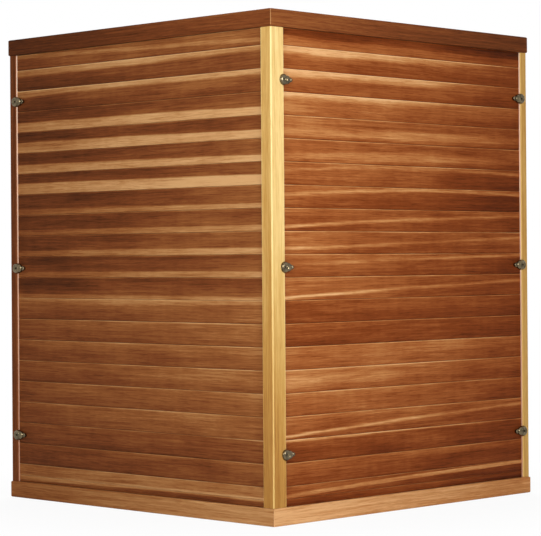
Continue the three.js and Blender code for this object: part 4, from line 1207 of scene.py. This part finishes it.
for level in ("upper", "lower"):
    softened(level + "_hinge_leaf", satin_steel, width=0.0006)
    softened(level + "_glass_clamp", satin_steel, width=0.0006)
screw = cross_screw(SCREW_RADIUS)
for level in HINGE_LEVELS:
    for z in (level - SCREW_RISE, level + SCREW_RISE):
        for part, (body, x, depth) in HINGE_SCREWS.items():
            placed = copy_to(screw, on_wall("front", x, depth, z))
            add_piece(placed, f"{part}_screw_{int(1000 * z)}", "satin_steel", satin_steel, body=body)
print("hinges: 2, with 8 screws of", len(screw.data.polygons), "faces")

# %% [markdown]
# Door grips are turned hemlock on steel standoffs, one grip on each side of the glass. The grip is a
# spindle with two beads, the same at both ends, so only its lower half is written down.

# %% Door grips
DOOR_GAP = 0.004
GRIP_FROM_EDGE = 0.070
GRIP_X = FRONT_LENGTH - OPENING_START - DOOR_GAP - GRIP_FROM_EDGE
GRIP_FOOT = 0.816
GRIP_LENGTH = 420
GRIP_RADIUS = 0.014
GRIP_CLEARANCE = 0.038
GLASS_FRONT = 0.012
GLASS_BACK = 0.020
POST_LEVELS = (0.876, 1.176)
SIDES = {
    "outside": (GLASS_FRONT - GRIP_CLEARANCE - GRIP_RADIUS, GLASS_FRONT, 0.0),
    "inside": (GLASS_BACK + GRIP_CLEARANCE + GRIP_RADIUS, GLASS_BACK, math.pi),
}
lower_half = [
    (8.5, 0), (10.6, 0.8), (12.4, 2.4), (13.4, 4.6), (13.9, 8), (14, 14), (13.2, 40),
    (12.8, 52), (13.5, 56), (13.9, 60), (13.5, 64), (12.8, 68), (13.3, 130),
]
upper_half = [(radius, GRIP_LENGTH - level) for radius, level in lower_half[::-1]]
grip = turned(lower_half + [(13.9, GRIP_LENGTH / 2)] + upper_half)
foot_plate = [(10.5, 0.3), (10.5, 2.2), (9.6, 3.2), (7.2, 4.0)]
standoff = turned(foot_plate + [(6.6, 8), (6.6, 30), (7.4, 34), (7.4, 42)], facets=36)
grip_wood = wood("turned hemlock", UP, HEMLOCK, 0.5, seed=0.8, rough=0.36)
for side, (grip_depth, glass_depth, turn) in SIDES.items():
    upright = on_wall("front", GRIP_X, grip_depth, GRIP_FOOT) @ Matrix.Rotation(-math.pi / 2, 4, "X")
    stand_for(side + "_handle", copy_to(grip, upright), side + "_grip", grip_wood)
    facing = Matrix.Rotation(turn, 4, "Y")
    places = [on_wall("front", GRIP_X, glass_depth, level) @ facing for level in POST_LEVELS]
    posts = [copy_to(standoff, place) for place in places]
    add_piece(join(*posts), side + "_grip_posts", "satin_steel", satin_steel, body="door")
bpy.data.objects.remove(grip)
bpy.data.objects.remove(standoff)
print("grips:", len(SIDES), "standoffs:", len(SIDES) * len(POST_LEVELS))

# %% [markdown]
# The control panel is a moulded black case with a sunk display and four keys. The display shows a
# plain temperature in bars, and the keys carry plain marks: on, light, cooler and warmer. All of these are
# raised shapes, since a mark that is only painted would need a picture.

# %% Plastics
def moulded(name, colour, rough, grain=2600):
    """Plastic with the fine leather grain of a mould, and a light haze."""
    recipe = Recipe(name)
    leather = recipe.noise(recipe.place(), (grain, grain, grain))
    haze = recipe.noise(recipe.place(), (30, 30, 30), detail=3.0)
    return recipe.feed(
        Base_Color=recipe.mix(recipe.smooth(haze, 0.35, 0.75), colour, shaded(colour, 1.5, 0.004)),
        Roughness=rough + (leather - 0.5) * 0.2 + (haze - 0.5) * 0.15,
        Normal=recipe.bump(leather, 0.25, 0.0002),
    )


def lit(name, colour, strength):
    """A surface that glows, a little unevenly."""
    recipe = Recipe(name)
    flicker = recipe.noise(recipe.place(), (400, 400, 400))
    glowing = recipe.mix(flicker, shaded(colour, 0.7), colour)
    recipe.feed(Base_Color=glowing, Emission_Color=glowing, Emission_Strength=strength)
    return recipe.feed(Roughness=0.4 + flicker * 0.1)


case_black = moulded("moulded black", paint(30, 31, 33), 0.42)
key_grey = moulded("key grey", paint(196, 196, 190), 0.45)
display_black = moulded("display glass", paint(10, 11, 12), 0.08, grain=60)
mark_black = moulded("mark ink", paint(36, 38, 42), 0.5, grain=900)
figure_glow = lit("display figures", paint(255, 140, 50), 1.2)
print("plastics: 4, and glowing figures")

# %% Control case and display
CONTROL_X = FRONT_LENGTH - WINDOW_FROM_END
CONTROL_Z = 1.001
CASE_THICK = 0.014
CASE_FACE = BOARDS_BACK - CASE_THICK
DISPLAY_Z = CONTROL_Z + 0.034
DISPLAY_GLASS = (87.2, 41.2, 1.1)
DISPLAY_SUNK = 0.0015
FIGURES_SUNK = 0.0004
FIGURE_BAR = (8.6, 1.9, 0.12)
SEGMENT = 10.0
HALF = SEGMENT / 2
SEGMENTS = {
    "top": (0, SEGMENT, 0), "middle": (0, 0, 0), "foot": (0, -SEGMENT, 0),
    "upper left": (-HALF, HALF, 90), "lower left": (-HALF, -HALF, 90),
    "upper right": (HALF, HALF, 90), "lower right": (HALF, -HALF, 90),
}
SIX = ("top", "middle", "foot", "upper left", "lower left", "lower right")
NOUGHT = ("top", "foot", "upper left", "lower left", "upper right", "lower right")
FIGURES = ((-10, SIX), (8, NOUGHT))


def bars(places, length, width, thick):
    """Small raised bars with pointed ends, joined; each place is x, y and the angle it lies at."""
    model = block((length, width, thick), place=(0, 0, thick / 2))
    select_edges(model, lambda a, b: abs(a.z - b.z) > thick / 2 * MM)
    with editing(everything=False):
        bpy.ops.mesh.bevel(offset=width * 0.45 * MM, segments=1)
    laid = []
    for x, y, angle in places:
        turn = Matrix.Rotation(math.radians(angle), 4, "Z")
        laid.append(copy_to(model, Matrix.Translation((x * MM, y * MM, 0)) @ turn))
    bpy.data.objects.remove(model)
    return join(*laid)


softened("control_panel", case_black, width=0.0012, segments=3)
glass = block(DISPLAY_GLASS, bevel=0.4, place=(0, 0, DISPLAY_GLASS[2] / 2))
glass.data.transform(on_wall("front", CONTROL_X, CASE_FACE + DISPLAY_SUNK, DISPLAY_Z))
smooth_by_angle(glass)
add_piece(glass, "display_glass", "panel_black", display_black)
figure_bars = []
for shift, shown in FIGURES:
    figure_bars += [(x + shift, y, angle) for x, y, angle in (SEGMENTS[name] for name in shown)]
digits = bars(figure_bars, *FIGURE_BAR)
digits.data.transform(on_wall("front", CONTROL_X, CASE_FACE + FIGURES_SUNK, DISPLAY_Z))
add_piece(digits, "display_figures", "panel_black", figure_glow)
print("display bars:", len(figure_bars))

# %% Keys and their marks
KEY_TOP = CASE_FACE - 0.0025
KEY_HEIGHT = 0.008
KEY_SPREAD = 0.023
KEY_RISE = 0.016
KEY_MIDDLE = CONTROL_Z - 0.032
MARK_SUNK = 0.0003
MARK_WIDTH = 0.9
MARK_THICK = 0.35
RAY_CIRCLE = 4.6
RAYS = [
    (RAY_CIRCLE * math.cos(math.radians(angle)), RAY_CIRCLE * math.sin(math.radians(angle)), angle)
    for angle in range(0, 360, 45)
]
# For each key its column and row, the places and length of the bars in its mark, and whether a ring joins
MARKS = {
    "power": (-1, 1, [(0, 2.4, 90)], 3.6, True),
    "light": (1, 1, RAYS, 1.6, True),
    "cooler": (-1, -1, [(0, 0, 0)], 7.0, False),
    "warmer": (1, -1, [(0, 0, 0), (0, 0, 90)], 7.0, False),
}
key_side = [(7.2, 0), (9.0, 1.8), (9.0, 6.6), (8.8, 7.3), (8.2, 7.8)]
key = turned(key_side + [(7.2, 8.0), (6.9, 7.85), (6.5, 7.8)], facets=40)
ring = turned([(3.4, -0.1), (3.4, 0.2), (2.6, 0.2), (2.6, -0.1)], facets=32)
for name, (column, row, places, length, ringed) in MARKS.items():
    button = name + "_button"
    x, z = CONTROL_X + column * KEY_SPREAD, KEY_MIDDLE + row * KEY_RISE
    stand_for(button, copy_to(key, on_wall("front", x, KEY_TOP + KEY_HEIGHT, z)), name + "_key", key_grey)
    mark = bars(places, length, MARK_WIDTH, MARK_THICK)
    if ringed:
        mark = join(mark, copy_to(ring, Matrix.Translation((0, 0, 0.0001))))
    mark.data.transform(on_wall("front", x, KEY_TOP + MARK_SUNK, z))
    add_piece(mark, name + "_mark", "key_grey", mark_black, body=body_of[button])
bpy.data.objects.remove(key)
bpy.data.objects.remove(ring)
print("keys with marks:", len(MARKS))

# %% [markdown]
# Overhead there is a shallow opal lamp in a steel rim, and a vent shutter with a turned knob in its
# runners. The dome's stations follow a quarter of an ellipse, so that it curves evenly to its pole.

# %% Ceiling lamp
CEILING = 1.839
DOME_RADIUS = 78
DOME_RIM = 12
DOME_RISE = 22
dome_profile = [(DOME_RADIUS, -3)]
for degrees in range(0, 90, 9):
    angle = math.radians(degrees)
    dome_profile.append((DOME_RADIUS * math.cos(angle), -DOME_RIM - DOME_RISE * math.sin(angle)))
dome = turned(dome_profile, facets=64)
move(dome, 0, 0, CEILING)
stand_for("ceiling_light", dome, "lamp_dome", lit("opal glass", paint(255, 236, 205), 7.0))
rim = turned([(90, 0), (90, -9), (89, -11), (87, -12), (80.5, -12.4), (79.2, -11.6), (78.6, -10)], facets=64)
move(rim, 0, 0, CEILING)
add_piece(rim, "lamp_rim", "satin_steel", satin_steel)
print("lamp dome:", len(dome.data.polygons), "faces")

# %% Vent shutter
SHUTTER = (148, 118, 6)
low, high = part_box("vent_shutter")
middle = (low + high) / 2
plate = block(SHUTTER, bevel=1.2, place=(middle.x / MM, middle.y / MM, CEILING / MM - SHUTTER[2] / 2))
knob_neck = [(5.5, 0), (5.5, -4), (6.2, -6.5), (8.6, -8.6)]
knob = turned(knob_neck + [(9.8, -10.8), (10, -12.6), (9.2, -14.6), (7.2, -15.7), (4, -16)])
move(knob, middle.x, middle.y, CEILING - SHUTTER[2] * MM)
shutter = join(plate, knob)
smooth_by_angle(shutter)
shutter_wood = wood("shutter hemlock", ALONG_X, HEMLOCK, 0.55, seed=1.2)
stand_for("vent_shutter", shutter, "vent_slide_shutter", shutter_wood)
print("vent shutter at", [round(v, 3) for v in middle])

# %% [markdown]
# The roof is a plywood cover screwed to the joists, with the steel box of the power inlet under it.
# Plywood is peeled from the log, so its figure is broad and wavy: a sine of slow noise draws its bands.

# %% Roof
ROOF_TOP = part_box("roof_cover")[1].z
PLAY = 0.0001
INLET = (-0.320, 0.230)
SCREW_COLUMNS = (-0.68, -0.46, -0.23, 0.0, 0.23, 0.46, 0.68)
SCREW_ROWS = (-0.46, 0.0, 0.46)
# The front cuts a corner off, so no screw has x + y below this
CUT_CORNER = -0.55
SCREW_PLACES = [(x, y) for y in SCREW_ROWS for x in SCREW_COLUMNS if x + y > CUT_CORNER]


def ply_finish():
    recipe = Recipe("roof plywood")
    place = recipe.place()
    bands = (recipe.noise(place, (1.3, 3.2, 1.0)) * 90.0).sine()
    fine = recipe.noise(place, (6, 260, 260))
    stain = recipe.noise(place, (2.5, 2.5, 2.5), detail=3.0)
    return recipe.feed(
        Base_Color=recipe.ramp(0.5 + bands * 0.12 + (fine - 0.5) * 0.5 + (stain - 0.5) * 0.3, PLYWOOD),
        Roughness=0.82 + (fine - 0.5) * 0.2,
        Specular_IOR_Level=0.05,
        Normal=recipe.bump(fine + bands * 0.1, 0.25, 0.0005),
    )


softened("roof_cover", ply_finish(), width=0.0008)
softened("power_box", grey_steel, width=0.0008)
collar = turned([(14.6, 0), (22, 0), (22, 1.2), (21, 1.9), (15.6, 2.1), (14.6, 1.6)], facets=40)
move(collar, *INLET, ROOF_TOP + PLAY)
add_piece(collar, "inlet_collar", "grey_steel", grey_steel)
for count, (x, y) in enumerate(SCREW_PLACES):
    placed = copy_to(screw, Matrix.Translation((x, y, ROOF_TOP - PLAY)))
    add_piece(placed, f"roof_screw_{count + 1}", "satin_steel", satin_steel)
bpy.data.objects.remove(screw)
print("roof screws:", len(SCREW_PLACES))

# %% [markdown]
# The studio: a pale floor that the cabin stands on, a white world, and three big soft lamps, of which two
# stand before the rear walls. The stronger of these stands before the left rear wall, so that wall is the
# lighter one. Both are aimed high at the near corner, so the walls darken towards their far ends and foot.
# The camera sees floor and world as plain white, also in metal and through glass, while the cabin is lit
# by a dimmer world. The floor keeps a trace of the cabin's shadow.

# %% Studio
WORLD_LIGHT = 0.25
WHITE = (1, 1, 1, 1)
FLOOR_GREY = (0.85, 0.85, 0.85, 1)
SHADOW_TRACE = 0.08
SHADOW_SPAN = (0.9, 1.9)
FLOOR_SIZE = 60
FLOOR_DROP = 0.0005


def shown_rays(recipe):
    """1 for what the camera sees, also in a mirror or through glass, and 0 for what lights the cabin."""
    rays = recipe.node("LightPath").socket.node.outputs
    names = ("Is Camera Ray", "Is Glossy Ray", "Is Transmission Ray")
    direct, mirrored, through = (Wire(rays[name]) for name in names)
    return direct.largest(mirrored).largest(through)


pick()
bpy.ops.mesh.primitive_plane_add(size=FLOOR_SIZE, location=(0, 0, -FLOOR_DROP))
floor = added()
floor.name = "studio_floor"
ground = Recipe("studio white")
floor.data.materials.append(ground.feed(Base_Color=FLOOR_GREY, Roughness=0.9))
reach = ground.node("VectorMath", {"operation": "LENGTH"}, {0: ground.place()}, "Value")
white = ground.smooth(reach, *SHADOW_SPAN) * SHADOW_TRACE + (1 - SHADOW_TRACE)
glow = ground.node("Emission", inputs={"Color": WHITE, "Strength": 1.0}, output="Emission")
layers = {0: shown_rays(ground) * white, 1: Wire(ground.shader.outputs[0]), 2: glow}
plug(ground.tree.nodes["Material Output"].inputs["Surface"], ground.node("MixShader", inputs=layers))
sky = Recipe("studio", "worlds", "Background")
scene.world = sky.feed(Color=WHITE, Strength=shown_rays(sky) * (1 - WORLD_LIGHT) + WORLD_LIGHT)


def lamp(name, place, target, size, watts):
    light = bpy.data.objects.new(name, bpy.data.lights.new(name, "AREA"))
    scene.collection.objects.link(light)
    light.data.size = size
    light.data.energy = watts
    light.location = place
    light.rotation_euler = (Vector(target) - Vector(place)).to_track_quat("-Z", "Y").to_euler()


lamp("key lamp", (1.7, 4.2, 2.2), (0.6, 0.76, 1.3), 1.6, 106)
lamp("fill lamp", (4.2, 1.7, 2.2), (0.76, 0.6, 1.3), 1.6, 80)
lamp("front lamp", (-3.0, -3.0, 4.4), (-0.3, -0.3, 1.0), 2.4, 230)
print("studio lit by", len(bpy.data.lights), "lamps")
